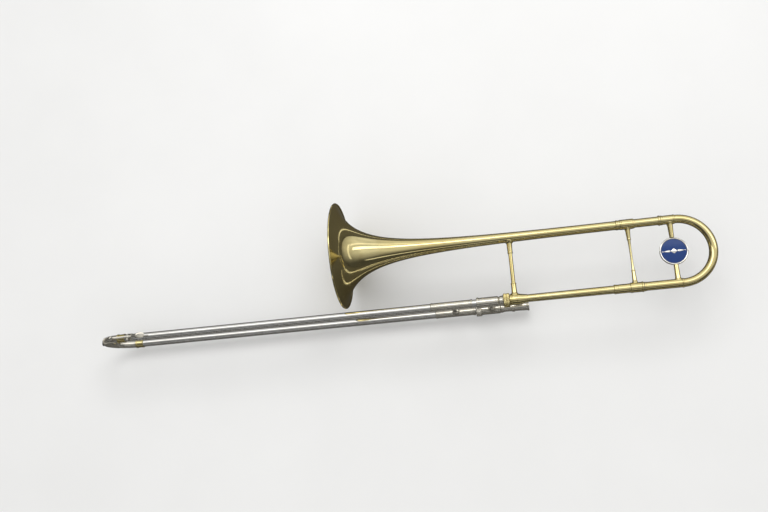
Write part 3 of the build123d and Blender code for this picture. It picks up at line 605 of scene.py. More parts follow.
def inlay(outline):
    """A thin raised plate on the medallion's dome, from a closed outline of (x, y)."""
    sunk, thick, inset = -0.15, 0.11, 0.12
    points = [np.array(p, float) for p in outline]
    middle = sum(points) / len(points)
    middle_z = dome_z(float(np.linalg.norm(middle)))
    verts, faces = [], []
    count = len(points)
    for height, pull in ((sunk, 0.0), (thick * 0.6, 0.0), (thick, inset)):
        for p in points:
            offset = p - middle
            keep = max(0.2, 1 - pull / max(np.linalg.norm(offset), 1e-6))
            x, y = middle + offset * keep
            verts.append((MEDAL[0] + x, MEDAL[1] + y, dome_z(math.hypot(x, y)) + height))
    for height in (thick, sunk):
        verts.append((MEDAL[0] + middle[0], MEDAL[1] + middle[1], middle_z + height))
    faces += stacked_faces(3, count)
    for i in range(count):
        j = (i + 1) % count
        faces.append((2 * count + i, 2 * count + j, 3 * count))
        faces.append((i, j, 3 * count + 1))
    return verts, faces


def bar(x0, x1, half0, half1, steps=14):
    """A tapered bar along X, from half width half0 to half1, with rounded ends."""
    edge = []
    for i in range(steps + 1):
        s = i / steps
        into_end = max(0.0, abs(s - 0.5) - 0.42) / 0.08
        rounding = min(1.0, math.sqrt(max(0.0, 1 - into_end ** 2)) + 1e-3)
        edge.append((x0 + (x1 - x0) * s, (half0 + (half1 - half0) * s) * rounding))
    return edge + [(x, -h) for x, h in reversed(edge)]


def lozenge(half_x, half_y, power, steps):
    """A four-pointed outline, with sides slightly hollow for a power below one."""
    outline = []
    for k in range(steps):
        t = 2 * math.pi * k / steps
        c, s = math.cos(t), math.sin(t)
        r = 1.0 / (abs(c) ** power / half_x + abs(s) ** power / half_y) ** (1 / power)
        outline.append((r * c, r * s))
    return outline


def pearl(x, radius=0.95, steps=28):
    angles = [2 * math.pi * k / steps for k in range(steps)]
    return [(x + radius * math.cos(t), radius * math.sin(t)) for t in angles]


make("medallion_ornament", "medallion_rim", "tuning_slide",
     [inlay(lozenge(5.6, 4.2, power=0.9, steps=40)), inlay(bar(6.6, 16.9, 2.2, 0.8)),
      inlay(bar(-16.9, -6.6, 0.8, 2.2)), inlay(pearl(18.9)), inlay(pearl(-18.9))],
     weighted=False, replace=False)

# ------------------------------------------------------------------ inner slide: cork barrels
barrel_start, barrel_end = x_span("bell_side_cork_barrel")
barrel = [
    (barrel_start, 8.0), (barrel_end - 5, 8.0), (barrel_end - 5, SLIDE_BORE_R),
    (barrel_end, SLIDE_BORE_R), (barrel_end, 8.3, 0.4), (barrel_end - 1.3, 9.35, 0.6),
    (barrel_end - 4.0, BARREL_R), (barrel_end - 4.2, 9.22), (barrel_end - 4.6, 9.22),
    (barrel_end - 4.8, BARREL_R), (barrel_start + 6.0, BARREL_R)]
barrel_lip = [
    (barrel_start + 5.8, 9.22), (barrel_start + 5.4, 9.22), (barrel_start + 5.2, BARREL_R),
    (barrel_start + 4.2, BARREL_R), (barrel_start + 3.8, 10.15, 0.35),
    (barrel_start + 0.5, 10.15, 0.4), (barrel_start, 9.6, 0.3)]
turned("bell_side_barrel", "bell_side_cork_barrel", "inner_slide", GOOSE_AXIS, 0.07,
       barrel + barrel_lip, segments=144)
turned("mouthpiece_side_barrel", "mouthpiece_cork_barrel", "inner_slide", MOUTH_AXIS, 0.07,
       barrel + [(barrel_start, BARREL_R, 0.2)], segments=144)

# ------------------------------------------------------------------ threaded tenon
THREAD_START, THREAD_END = 298.6, 303.85
THREAD_PITCH = 1.4
THREAD_STEP = 0.1
THREAD_STATIONS = 53
THREAD_ROOT_R = 9.42
THREAD_DEPTH = 0.43
THREAD_BLANK_R = 9.45   # profile radius that marks the part to be threaded

tenon_start, tenon_end = x_span("bell_tenon")
bore_side = [
    (tenon_start, SLIDE_BORE_R), (300.0, SLIDE_BORE_R), (300.0, 6.225), (tenon_end, 6.225),
    (tenon_end, 7.0, 0.1), (tenon_end - 0.8, 7.4, 0.15), (303.9, 7.4, 0.05), (303.9, 9.3, 0.05)]
# The last point only guides the rounding. The four points it becomes are dropped.
tenon = soften(bore_side, 0.05)[:-4] + [(303.9, THREAD_BLANK_R)]
tenon += [(THREAD_END - THREAD_STEP * i, THREAD_BLANK_R) for i in range(THREAD_STATIONS)]
tenon += soften([
    (298.4, THREAD_BLANK_R), (298.1, 9.75, 0.15), (297.3, 9.75, 0.15), (297.0, 9.3, 0.1),
    (295.0, 9.1), (292.5, 8.8, 0.4), (291.5, 7.9, 0.2), (tenon_start, 7.9)], 0.1, closed=False)


def thread(s, r, t):
    if 9.4 < r < 9.5 and THREAD_START <= s <= THREAD_END + 0.01:
        fade = min(1.0, (s - THREAD_START) / 0.6, (THREAD_END - s) / 0.5)
        wave = 0.5 + 0.5 * math.cos(2 * math.pi * s / THREAD_PITCH + t)
        return s, THREAD_ROOT_R + THREAD_DEPTH * max(0.0, fade) * (wave ** 0.7)
    return s, r


make("threaded_tenon", "bell_tenon", "inner_slide",
     [lathe(tenon, GOOSE_AXIS, 120, thread)], weighted=False)

# ------------------------------------------------------------------ mouthpiece socket
socket_end = x_span("mouthpiece_receiver")[1]
socket_profile = soften([
    (barrel_end, SLIDE_BORE_R, 0), (313.0, SLIDE_BORE_R, 0), (313.0, 5.95, 0.1),
    (socket_end - 10, 6.35, 0), (socket_end, 6.35, 0.3), (socket_end, 8.8, 0.4),
    (socket_end - 0.5, 9.4, 0.4), (socket_end - 2.2, 9.4, 0.4), (socket_end - 2.8, 8.9, 0.15),
    (socket_end - 2.9, 8.88, 0)], 0.1, closed=False)
socket_profile += spline(
    [(socket_end - 2.8, 8.9), (socket_end - 8, 8.45), (socket_end - 17, 8.05),
     (socket_end - 26, 7.9)], start=(-1, -0.25), end=(-1, 0), per=6)[1:]
socket_profile += soften([
    (socket_end - 26.1, 7.9), (socket_end - 27.4, 7.9, 0.2), (socket_end - 27.8, 8.9, 0.35),
    (socket_end - 32.4, 8.9, 0.35), (socket_end - 32.8, 7.7, 0.2), (socket_end - 48, 7.7, 0.3),
    (socket_end - 49.4, 8.2, 0.4), (socket_end - 50.2, 8.7, 0.4), (socket_end - 52.6, 8.7, 0.4),
    (barrel_end, 8.1, 0.3)], 0.1, closed=False)
make("mouthpiece_socket", "mouthpiece_receiver", "inner_slide",
     [lathe(socket_profile, MOUTH_AXIS, 144)])


# ------------------------------------------------------------------ slide braces

def slide_brace(rod_name, feet_name, node, body, tube, rod, socket):
    """A plain rod between the two slide tubes, and a socketed foot at each end.
    tube, rod and socket are radii."""
    x = centre(node)[0]
    goose, mouth = (x, GOOSE_Y, GOOSE_Z), (x, MOUTH_Y, MOUTH_Z)
    stations = (tube - 0.3, tube + 3, SLIDE_GAP / 2, SLIDE_GAP - tube - 3, SLIDE_GAP - tube + 0.3)
    make(rod_name, node, body, [brace(goose, mouth, tube, tube, [(s, rod) for s in stations])])
    foot = [
        (tube - 0.3, 7.35), (tube + 0.05, 7.2, 0.2), (tube + 0.7, 6.95, 0.5),
        (tube + 1.3, 6.0, 0.9), (tube + 3.1, socket + 0.35, 1.0), (tube + 6.5, socket + 0.12),
        (tube + 9.3, socket), (tube + 9.8, socket + 0.45, 0.3), (tube + 11.7, socket + 0.45, 0.3),
        (tube + 12.2, rod + 0.05, 0.2), (tube + 12.2, rod - 0.25)]
    make(feet_name, node + "_sockets", body,
         [brace(goose, mouth, tube, FLAT_R, foot), brace(mouth, goose, tube, FLAT_R, foot)])


slide_brace("inner_slide_brace", "inner_brace_feet", "inner_brace", "inner_slide",
            tube=BARREL_R, rod=3.8, socket=4.7)
slide_brace("hand_slide_brace", "hand_brace_feet", "hand_brace", "outer_slide",
            tube=SLEEVE_R, rod=4.2, socket=5.1)

# ------------------------------------------------------------------ slide lock ring
lock_start, lock_end = x_span("slide_lock_ring")
lock_profile = [
    (lock_start, 8.1, 0.1), (lock_start + 2.0, 8.1, 0.1), (lock_start + 2.0, 9.3, 0),
    (lock_start + 6.4, 9.3, 0), (lock_start + 6.4, 9.45, 0), (lock_end, 9.45, 0.1),
    (lock_end, 10.4, 0.3), (lock_end - 0.9, 11.5, 0.4)]
lock_profile += [(s, LOCK_RING_R) for s in np.linspace(lock_end - 1.4, lock_start + 1.4, 14)]
lock_profile += [(lock_start + 0.9, 11.5, 0.4), (lock_start, 10.7, 0.3)]
lock_knurl = knurl(lock_start + 0.6, lock_end - 0.6, LOCK_RING_R, count=40, depth=0.4, ramp=0.6)


def lock_shape(s, r, t):
    """The knurl outside, and a notch through the inner lip on the +Y side."""
    angle = abs((t + math.pi) % (2 * math.pi) - math.pi)
    if r < 9.28 and s < lock_start + 2.2 and angle < math.radians(18.01):
        return s, 9.29
    return lock_knurl(s, r, t)


make("slide_lock_collar", "slide_lock_ring", "lock_ring",
     [lathe(soften(lock_profile, 0.08), MOUTH_AXIS, 480, lock_shape)], weighted=False)

# ------------------------------------------------------------------ outer slide
grip_start, grip_end = x_span("outer_slide_sleeves")
grip = [
    (grip_start, 7.2, 0), (grip_end, 7.2, 0), (grip_end, 8.1, 0.25), (grip_end - 0.6, 8.6, 0.3),
    (grip_end - 2.6, 8.6, 0.3), (grip_end - 3.1, SLEEVE_R, 0.15), (grip_end - 6.0, SLEEVE_R),
    (grip_end - 6.2, 7.75), (grip_end - 6.6, 7.75), (grip_end - 6.8, SLEEVE_R),
    (grip_start + 6.8, SLEEVE_R), (grip_start + 6.6, 7.75), (grip_start + 6.2, 7.75),
    (grip_start + 6.0, SLEEVE_R), (grip_start + 3.6, SLEEVE_R, 0.15),
    (grip_start + 3.1, 8.4, 0.3), (grip_start + 1.2, 8.4, 0.3), (grip_start, 7.6, 0.3)]
make("hand_grip_sleeves", "outer_slide_sleeves", "outer_slide",
     [lathe(soften(grip, 0.07), axis, 144) for axis in (GOOSE_AXIS, MOUTH_AXIS)])

band_start, band_end = x_span("end_bow_ferrules")
end_band = [
    (band_start, 7.5, 0), (band_start + 4, 7.5, 0), (band_start + 4, 7.2, 0),
    (band_end, 7.2, 0), (band_end, 7.9, 0.2), (band_end - 0.6, 8.6, 0.3),
    (band_end - 2.6, 8.6, 0.3), (band_end - 3.2, 8.1, 0.15), (band_start + 3.2, 8.1, 0.15),
    (band_start + 2.6, 8.8, 0.35), (band_start + 0.6, 8.8, 0.35), (band_start, 8.1, 0.2)]
make("end_bow_bands", "end_bow_ferrules", "outer_slide",
     [lathe(soften(end_band, 0.08), axis, 144) for axis in (GOOSE_AXIS, MOUTH_AXIS)])

# ------------------------------------------------------------------ water key spring
# A leg from below up to the coil, the coil round the pivot, and a leg along the lever.
WIRE_R = 0.3
COIL_R = 3.05
COIL_TURNS = 2.75
COIL_STEPS = 132
FOOT_STEPS = 8
TIP_STEPS = 12

pivot_x, _, pivot_z = centre("water_key_pivot_screw")
spring_low, spring_high = span("water_key_spring")
coil_start_y, coil_end_y = spring_high[1] - WIRE_R, spring_low[1] + WIRE_R
foot_z = spring_low[2] + 0.05
spring = [(pivot_x - COIL_R, coil_start_y, foot_z + (pivot_z - foot_z) * i / FOOT_STEPS)
          for i in range(FOOT_STEPS + 1)]
for i in range(1, COIL_STEPS + 1):
    t = math.pi - 2 * math.pi * COIL_TURNS * i / COIL_STEPS
    spring.append((pivot_x + COIL_R * math.cos(t),
                   coil_start_y + (coil_end_y - coil_start_y) * i / COIL_STEPS,
                   pivot_z + COIL_R * math.sin(t)))
coil_end_x, _, coil_end_z = spring[-1]
leg_length = spring_high[0] - 0.2 - coil_end_x
spring += [(coil_end_x + leg_length * i / TIP_STEPS, coil_end_y, coil_end_z)
           for i in range(1, TIP_STEPS + 1)]
make("water_key_coil", "water_key_spring", "outer_slide", [wire(spring, WIRE_R, 16)],
     weighted=False)

# ------------------------------------------------------------------ water key lever
# A domed cup over the cork, a hinge barrel along Y, and a bowed arm that ends in a thumb plate.
HINGE_HALF = 4.1
HINGE_R = 2.6
HINGE_GROOVE_R = 2.4

cork_centre = np.array(centre("water_key_cork"))
key_dir = cork_centre - np.array((band_start, GOOSE_Y, (GOOSE_Z + MOUTH_Z) / 2))
key_dir[1] = 0.0
key_dir = key_dir / np.linalg.norm(key_dir)
key_side = np.array((key_dir[2], 0.0, -key_dir[0]))
cup_base = cork_centre + key_dir * 1.1  # outer face of the cork
cup_profile = soften([
    (0.0, CENTRE_R, 0), (0.0, 4.4, 0), (-1.3, 4.4, 0.1), (-1.3, 5.0, 0.25), (-0.2, 5.0),
    (0.3, 4.95, 0.3), (0.9, 4.5, 0.5), (1.35, 3.4, 0.8), (1.55, 1.8, 0.8),
    (1.6, CENTRE_R, 0)], 0.1)
hinge_profile = soften([
    (-HINGE_HALF, 1.3), (HINGE_HALF, 1.3), (HINGE_HALF, HINGE_R, 0.35),
    (HINGE_HALF - 1.0, HINGE_R), (HINGE_HALF - 1.2, HINGE_GROOVE_R),
    (HINGE_HALF - 1.5, HINGE_GROOVE_R), (HINGE_HALF - 1.7, HINGE_R),
    (-HINGE_HALF + 1.7, HINGE_R), (-HINGE_HALF + 1.5, HINGE_GROOVE_R),
    (-HINGE_HALF + 1.2, HINGE_GROOVE_R), (-HINGE_HALF + 1.0, HINGE_R),
    (-HINGE_HALF, HINGE_R, 0.35)], 0.08)


def strap(stations, segments=44, power=3.2):
    """A flat bar centred on the gooseneck's Y, with stations (x, z, full width, full thickness).
    power squares off its section."""
    points = [s[:2] for s in stations]
    ends = np.array(points)
    path = spline(points, ends[1] - ends[0], ends[-1] - ends[-2], 9)

    def distances(line):
        steps = np.linalg.norm(np.diff(np.array(line), axis=0), axis=1)
        return np.concatenate(([0], np.cumsum(steps)))

    run = distances(path)
    base = distances(points)
    base = base * run[-1] / base[-1]
    verts = []
    for i, (x, z) in enumerate(path):
        along = tangent(path, i)
        half_width = float(np.interp(run[i], base, [s[2] for s in stations])) / 2
        half_thick = float(np.interp(run[i], base, [s[3] for s in stations])) / 2
        to_end = min(run[i], run[-1] - run[i])
        rounding = 3.4 if run[i] > run[-1] / 2 else 1.2
        if to_end < rounding:
            arc = math.sqrt(max(0.0, 1 - (1 - to_end / rounding) ** 2))
            half_width *= arc * 0.985 + 0.015
        for k in range(segments):
            t = 2 * math.pi * k / segments
            c, s = math.cos(t), math.sin(t)
            across = math.copysign(abs(c) ** (2 / power), c) * half_width
            out = math.copysign(abs(s) ** (2 / power), s) * half_thick
            verts.append((x - along[1] * out, GOOSE_Y + across, z + along[0] * out))
    last = (len(path) - 1) * segments
    faces = stacked_faces(len(path), segments)
    faces.append(tuple(range(segments)))
    faces.append(tuple(range(last, last + segments))[::-1])
    return verts, faces


cup_top_x, _, cup_top_z = cup_base + key_dir * 1.25
# (x, z, width, thickness) from the cup to the tip of the thumb plate
LEVER_ARM = [
    (cup_top_x - 1.4, cup_top_z + 0.1, 3.2, 1.2), (cup_top_x + 2.2, cup_top_z + 0.55, 4.2, 1.5),
    (-460.0, 14.55, 4.6, 1.9), (-452.0, 13.75, 4.2, 1.9), (-444.0, 13.2, 3.8, 1.9),
    (-436.5, 13.15, 4.6, 2.0), (pivot_x, pivot_z + 2.1, 5.4, 2.2), (-425.5, 13.6, 4.6, 2.0),
    (-420.0, 14.65, 4.0, 1.8), (-414.0, 16.5, 5.6, 1.6), (-408.5, 17.9, 9.6, 1.45),
    (-403.5, 18.3, 11.2, 1.4), (-398.5, 17.95, 10.8, 1.35),
    (x_span("water_key_lever")[1], 16.75, 8.4, 1.2)]
make("water_key_arm", "water_key_lever", "water_key", [
    turned_about(cup_profile, cup_base, key_dir, key_side, 96),
    turned_about(hinge_profile, (pivot_x, GOOSE_Y, pivot_z), (0, 1, 0), (1, 0, 0), 72),
    strap(LEVER_ARM)])

# ------------------------------------------------------------------ CAD pieces kept as they are
# (node, bevel width in metres)
KEPT_NODES = [
    ("slide_lock_pin", 0.00018), ("end_bow_guard", 0.00025), ("end_bow_bumper", 0.00018),
    ("water_key_nipple", 0.00018), ("water_key_saddle", 0.00018),
    ("water_key_pivot_screw", 0.00018), ("water_key_lever", 0.00018),
    ("water_key_cork", 0.00018)]
for node, bevel_width in KEPT_NODES:
    obj = NODES[node]
    if obj.hide_render:  # a hidden node needs no soft edges
        continue
    weld = obj.modifiers.new("join", "WELD")
    weld.merge_threshold = 2e-6
    bevel = obj.modifiers.new("soft_edge", "BEVEL")
    bevel.width = bevel_width
    bevel.segments = 3
    bevel.limit_method = "ANGLE"
    bevel.angle_limit = math.radians(38)
    bevel.use_clamp_overlap = True
    bevel.harden_normals = False
    even_normals(obj)


# ------------------------------------------------------------------ node graphs

class Graph:
    """Builds the node tree of a material or world. Its helpers return output sockets."""

    def __init__(self, owner):
        owner.use_nodes = True
        self.tree = owner.node_tree
        self.tree.nodes.clear()

    def fill(self, node, inputs):
        """Links sockets and sets plain values."""
        for key, value in inputs.items():
            if isinstance(value, bpy.types.NodeSocket):
                self.tree.links.new(value, node.inputs[key])
            else:
                node.inputs[key].default_value = value

    def node(self, kind, inputs=None, **properties):
        node = self.tree.nodes.new(kind)
        for key, value in properties.items():
            setattr(node, key, value)
        self.fill(node, inputs or {})
        return node

    def math(self, operation, a, b):
        return self.node("ShaderNodeMath", {0: a, 1: b}, operation=operation).outputs[0]

    def vector_math(self, operation, a, b, output="Vector"):
        node = self.node("ShaderNodeVectorMath", {0: a, 1: b}, operation=operation)
        return node.outputs[output]

    def split(self, vector):
        return self.node("ShaderNodeSeparateXYZ", {"Vector": vector}).outputs

    def remap(self, value, source, target=(0.0, 1.0), kind="LINEAR"):
        """Maps the range source onto the range target."""
        return self.node("ShaderNodeMapRange", {
            "From Min": source[0], "From Max": source[1],
            "To Min": target[0], "To Max": target[1], "Value": value},
            interpolation_type=kind).outputs["Result"]

    def smooth(self, value, source, target=(0.0, 1.0)):
        return self.remap(value, source, target, "SMOOTHSTEP")

    def mix_shader(self, factor, first, second):
        return self.node("ShaderNodeMixShader",
                         {"Fac": factor, 1: first, 2: second}).outputs["Shader"]


class Finish(Graph):
    """A material round one Principled shader, with textures in object coordinates."""

    def __init__(self, name):
        self.material = bpy.data.materials.new(name)
        super().__init__(self.material)
        self.output = self.node("ShaderNodeOutputMaterial")
        self.bsdf = self.node("ShaderNodeBsdfPrincipled")
        self.fill(self.output, {"Surface": self.bsdf.outputs["BSDF"]})
        self.place = self.node("ShaderNodeTexCoord").outputs["Object"]

    def surface(self, inputs):
        self.fill(self.bsdf, inputs)

    def mapped(self, stretch=(1, 1, 1), turn=(0, 0, 0)):
        return self.node("ShaderNodeMapping", {
            "Scale": stretch, "Rotation": turn, "Vector": self.place}).outputs["Vector"]

    def noise(self, scale, detail=4, roughness=0.55, distortion=0.0, **mapping):
        return self.node("ShaderNodeTexNoise", {
            "Vector": self.mapped(**mapping), "Scale": scale, "Detail": detail,
            "Roughness": roughness, "Distortion": distortion}).outputs["Fac"]

    def cells(self, scale):
        return self.node("ShaderNodeTexVoronoi", {
            "Scale": scale, "Vector": self.mapped()}).outputs["Distance"]

    def ramp(self, value, start, end, first=0.0, last=1.0):
        """Grey first up to start, then a blend to grey last at end."""
        node = self.node("ShaderNodeValToRGB", {"Fac": value})
        stops = ((start, first), (end, last))
        for element, (position, grey) in zip(node.color_ramp.elements, stops):
            element.position = position
            element.color = (grey, grey, grey, 1)
        return node.outputs["Color"]

    def mix(self, factor, a, b):
        """Blends two colours. Each is a socket or an RGB triple."""
        a, b = (c if isinstance(c, bpy.types.NodeSocket) else (*c, 1) for c in (a, b))
        # 0 is the float factor, 6 and 7 are the colours, and output 2 is the blend
        return self.node("ShaderNodeMix", {0: factor, 6: a, 7: b}, data_type="RGBA").outputs[2]

    def bump(self, height, strength, distance, under=None):
        inputs = {"Strength": strength, "Distance": distance, "Height": height}
        if under is not None:
            inputs["Normal"] = under
        return self.node("ShaderNodeBump", inputs).outputs["Normal"]


# ------------------------------------------------------------------ materials

def metal(name, light, mid, stain, rough, scratch, corner_shade_and_grime, pits,
          coat=0.0, edge=None, spun=0.0, metallic=1.0):
    """Polished metal. light, mid and stain are its colours, rough is the range of roughness.
    scratch and pits weigh the wear, and the weight between them darkens corners and gaps
    between parts with painted shade, partly grime. coat is a lacquer, edge tints the glancing
    reflection, and spun is the strength of fine turning marks."""
    g = Finish(name)

    # broad colour drift and dull smears
    broad = g.noise(scale=9, detail=3, roughness=0.5)
    patch = g.noise(scale=42, detail=5, roughness=0.6, distortion=0.6)
    colour = g.mix(g.ramp(broad, start=0.34, end=0.68), light, mid)
    smear = g.ramp(patch, start=0.50, end=0.74)
    colour = g.mix(g.math("MULTIPLY", smear, 0.22), colour, stain)

    # painted shade in the corners and between parts: ambient occlusion darkens the colour there,
    # broken up by noise, partly as grime
    shade = g.node("ShaderNodeAmbientOcclusion", {"Distance": 0.0045}, samples=4)
    corner = g.math("SUBTRACT", 1.0, shade.outputs["AO"])
    corner = g.math("POWER", corner, 1.35)
    broken = g.noise(scale=260, detail=4, roughness=0.65)
    corner = g.math("MULTIPLY", corner, g.remap(broken, source=(0.3, 0.7), target=(0.35, 1.25)))
    corner = g.math("MINIMUM", g.math("MULTIPLY", corner, corner_shade_and_grime), 1.0)
    # the painted corner shade: a darkened stain colour where occlusion is strong
    colour = g.mix(corner, colour, tuple(c * 0.32 for c in stain))

    # small dark pits, in patches
    spot = g.ramp(g.cells(scale=210), start=0.05, end=0.13, first=1.0, last=0.0)
    spot_mask = g.ramp(g.noise(scale=30, detail=2, roughness=0.5), start=0.56, end=0.66)
    spot = g.math("MULTIPLY", spot, spot_mask)
    spot = g.math("MULTIPLY", spot, pits)
    colour = g.mix(spot, colour, tuple(c * 0.28 for c in stain))
    g.surface({"Base Color": colour, "Metallic": metallic})
    if edge:
        g.surface({"Specular Tint": (*edge, 1)})

    # hairlines in two directions, where the mask lets them show
    hair_one = g.ramp(g.noise(scale=420, detail=2, roughness=0.5,
                              stretch=(0.06, 1, 1), turn=(0.1, 0.15, 0.25)), start=0.60, end=0.66)
    hair_two = g.ramp(g.noise(scale=380, detail=2, roughness=0.5,
                              stretch=(1, 0.05, 0.3), turn=(0.4, 0.2, 0.9)), start=0.62, end=0.68)
    hair_mask = g.ramp(g.noise(scale=22, detail=3, roughness=0.6), start=0.42, end=0.66)
    hair = g.math("MULTIPLY", g.math("MAXIMUM", hair_one, hair_two), hair_mask)

    # roughness: the polish, then what each kind of wear adds, and the mask of the painted corner
    # shade
    fine = g.noise(scale=700, detail=3, roughness=0.6)
    roughness = g.remap(fine, source=(0.3, 0.7), target=rough)
    for wear, amount in ((smear, 0.07), (hair, 0.13 * scratch), (corner, 0.3), (spot, 0.5)):
        roughness = g.math("ADD", roughness, g.math("MULTIPLY", wear, amount))
    g.surface({"Roughness": roughness})

    # relief: slow waves, hairlines, pits
    waves = g.noise(scale=60, detail=2, roughness=0.5)
    relief = g.bump(waves, strength=0.055, distance=0.0002)
    relief = g.bump(hair, strength=-0.12 * scratch, distance=0.00004, under=relief)
    relief = g.bump(spot, strength=-0.35, distance=0.00006, under=relief)
    if spun:
        marks = g.noise(scale=1500, detail=2, roughness=0.6, stretch=(1.0, 0.02, 0.02))
        relief = g.bump(marks, strength=spun, distance=0.00003, under=relief)
    g.surface({"Normal": relief})

    if coat:
        peel = g.noise(scale=230, detail=3, roughness=0.5)
        g.surface({
            "Coat Weight": coat,
            "Coat IOR": 1.5,
            "Coat Tint": (1.0, 0.965, 0.86, 1),
            "Coat Normal": g.bump(peel, strength=0.05, distance=0.0001),
            "Coat Roughness": g.remap(patch, source=(0.35, 0.7), target=(0.02, 0.10))})
    return g.material


def enamel(name):
    """Blue enamel over fine engine-turned rays and rings, under a clear coat."""
    ray_count, ring_rate = 72.0, 5200.0  # rays round the disc, radians per metre outwards
    g = Finish(name)
    offset = g.vector_math("SUBTRACT", g.place, (MEDAL[0] * MM, MEDAL[1] * MM, 0))
    axes = g.split(offset)
    angle = g.math("ARCTAN2", axes["Y"], axes["X"])
    length = g.node("ShaderNodeVectorMath", {0: offset}, operation="LENGTH").outputs["Value"]
    rays = g.math("SINE", g.math("MULTIPLY", angle, ray_count), 0.0)
    rings = g.math("SINE", g.math("MULTIPLY", length, ring_rate), 0.0)
    pattern = g.remap(g.math("MULTIPLY", rays, rings), source=(-1, 1))
    colour = g.mix(pattern, (0.0025, 0.020, 0.105), (0.006, 0.046, 0.225))
    cloud = g.ramp(g.noise(scale=120, detail=4, roughness=0.6), start=0.35, end=0.7)
    colour = g.mix(g.math("MULTIPLY", cloud, 0.45), colour, (0.008, 0.043, 0.155))
    speck = g.ramp(g.noise(scale=1300, detail=2, roughness=0.5), start=0.70, end=0.75)
    colour = g.mix(g.math("MULTIPLY", speck, 0.25), colour, (0.16, 0.24, 0.42))
    polish = g.noise(scale=300, detail=3)
    coat_polish = g.noise(scale=180, detail=3)
    coat_waves = g.noise(scale=90, detail=2)
    g.surface({
        "Base Color": colour,
        "Metallic": 0.10,
        "Roughness": g.remap(polish, source=(0.3, 0.7), target=(0.25, 0.45)),
        "Normal": g.bump(pattern, strength=0.10, distance=0.00005),
        "Coat Weight": 0.5,
        "Specular IOR Level": 0.2,
        "Coat Roughness": g.remap(coat_polish, source=(0.3, 0.7), target=(0.02, 0.10)),
        "Coat Normal": g.bump(coat_waves, strength=0.06, distance=0.0002)})
    return g.material


def cork(name):
    """Grainy cork with dark pits."""
    g = Finish(name)
    cells = g.cells(scale=1400)
    grain = g.noise(scale=700, detail=5, roughness=0.65)
    colour = g.mix(g.ramp(grain, start=0.35, end=0.68),
                   (0.36, 0.205, 0.095), (0.60, 0.41, 0.235))
    pits = g.ramp(g.noise(scale=1100, detail=3, roughness=0.7, distortion=0.4),
                  start=0.60, end=0.68)
    colour = g.mix(g.math("MULTIPLY", pits, 0.8), colour, (0.12, 0.06, 0.03))
    relief = g.bump(pits, strength=-0.6, distance=0.0002)
    g.surface({
        "Base Color": colour,
        "Roughness": g.remap(grain, source=(0.0, 1.0), target=(0.72, 0.92)),
        "Normal": g.bump(cells, strength=0.3, distance=0.0001, under=relief)})
    return g.material


def rubber(name):
    """Near-black rubber with pale scuffs."""
    g = Finish(name)
    grain = g.noise(scale=500, detail=5, roughness=0.65)
    colour = g.mix(g.ramp(grain, start=0.35, end=0.7),
                   (0.012, 0.012, 0.013), (0.040, 0.038, 0.036))
    scuff = g.ramp(g.noise(scale=160, detail=4, roughness=0.7, distortion=1.0),
                   start=0.56, end=0.70)
    colour = g.mix(g.math("MULTIPLY", scuff, 0.5), colour, (0.10, 0.095, 0.09))
    g.surface({
        "Base Color": colour,
        "Roughness": g.remap(scuff, source=(0.0, 1.0), target=(0.48, 0.82)),
        "Normal": g.bump(grain, strength=0.3, distance=0.00012)})
    return g.material


# In each metal, the weight between scratch and pits sets the painted shade in corners, partly
# grime.
MATERIALS = {
    "lacquered_brass": metal(
        "lacquered_brass_finish", light=(0.925, 0.825, 0.455), mid=(0.865, 0.735, 0.345),
        stain=(0.62, 0.46, 0.17), rough=(0.035, 0.095), scratch=0.7, corner_shade_and_grime=0.75, pits=0.55,
        coat=0.35, edge=(0.99, 0.95, 0.80)),
    "nickel_silver": metal(
        "nickel_silver_finish", light=(0.800, 0.775, 0.700), mid=(0.735, 0.700, 0.610),
        stain=(0.50, 0.45, 0.35), rough=(0.055, 0.13), scratch=1.0, corner_shade_and_grime=0.8, pits=0.5,
        spun=0.05, metallic=0.92),
    "bright_nickel": metal(
        "bright_nickel_finish", light=(0.865, 0.860, 0.840), mid=(0.805, 0.795, 0.765),
        stain=(0.58, 0.55, 0.49), rough=(0.035, 0.095), scratch=1.0, corner_shade_and_grime=0.7, pits=0.35,
        metallic=0.94),
    "chrome_plate": metal(
        "chrome_plate_finish", light=(0.80, 0.81, 0.83), mid=(0.72, 0.73, 0.745),
        stain=(0.50, 0.50, 0.49), rough=(0.03, 0.08), scratch=1.2, corner_shade_and_grime=0.5, pits=0.2),
    "raw_brass": metal(
        "raw_brass_finish", light=(0.66, 0.47, 0.20), mid=(0.50, 0.34, 0.13),
        stain=(0.25, 0.16, 0.07), rough=(0.22, 0.38), scratch=1.0, corner_shade_and_grime=0.9, pits=0.8),
    "steel": metal(
        "steel_finish", light=(0.58, 0.58, 0.585), mid=(0.47, 0.465, 0.455),
        stain=(0.26, 0.22, 0.18), rough=(0.16, 0.30), scratch=1.2, corner_shade_and_grime=0.9, pits=0.6),
    "blue_enamel": enamel("blue_enamel_finish"),
    "cork": cork("cork_finish"),
    "rubber": rubber("rubber_finish"),
}
for obj, slot in PIECES:
    obj.data.materials.clear()
    obj.data.materials.append(MATERIALS[slot])
for node, obj in NODES.items():
    for material_slot in obj.material_slots:
        material_slot.material = MATERIALS[SLOT[node]]

# ------------------------------------------------------------------ studio
# From here on, lengths are in metres.
scene = bpy.context.scene
scene.view_settings.view_transform = "Standard"
scene.view_settings.exposure = 0.0

low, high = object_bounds()
MIDDLE = (low + high) / 2
FLOOR_Z = low.z - 0.0004
FLOOR_HALF = 45.0
PALE = (0.93, 0.93, 0.925, 1)  # backdrop colour

# ------------------------------------------------------------------ camera
camera_data = bpy.data.cameras.new("camera")
camera = bpy.data.objects.new("camera", camera_data)
scene.collection.objects.link(camera)
camera_data.sensor_width = 36
camera_data.lens = 39.0
camera_data.clip_start = 0.01
camera_data.clip_end = 100
camera.location = (0.335, -0.386, 1.510)
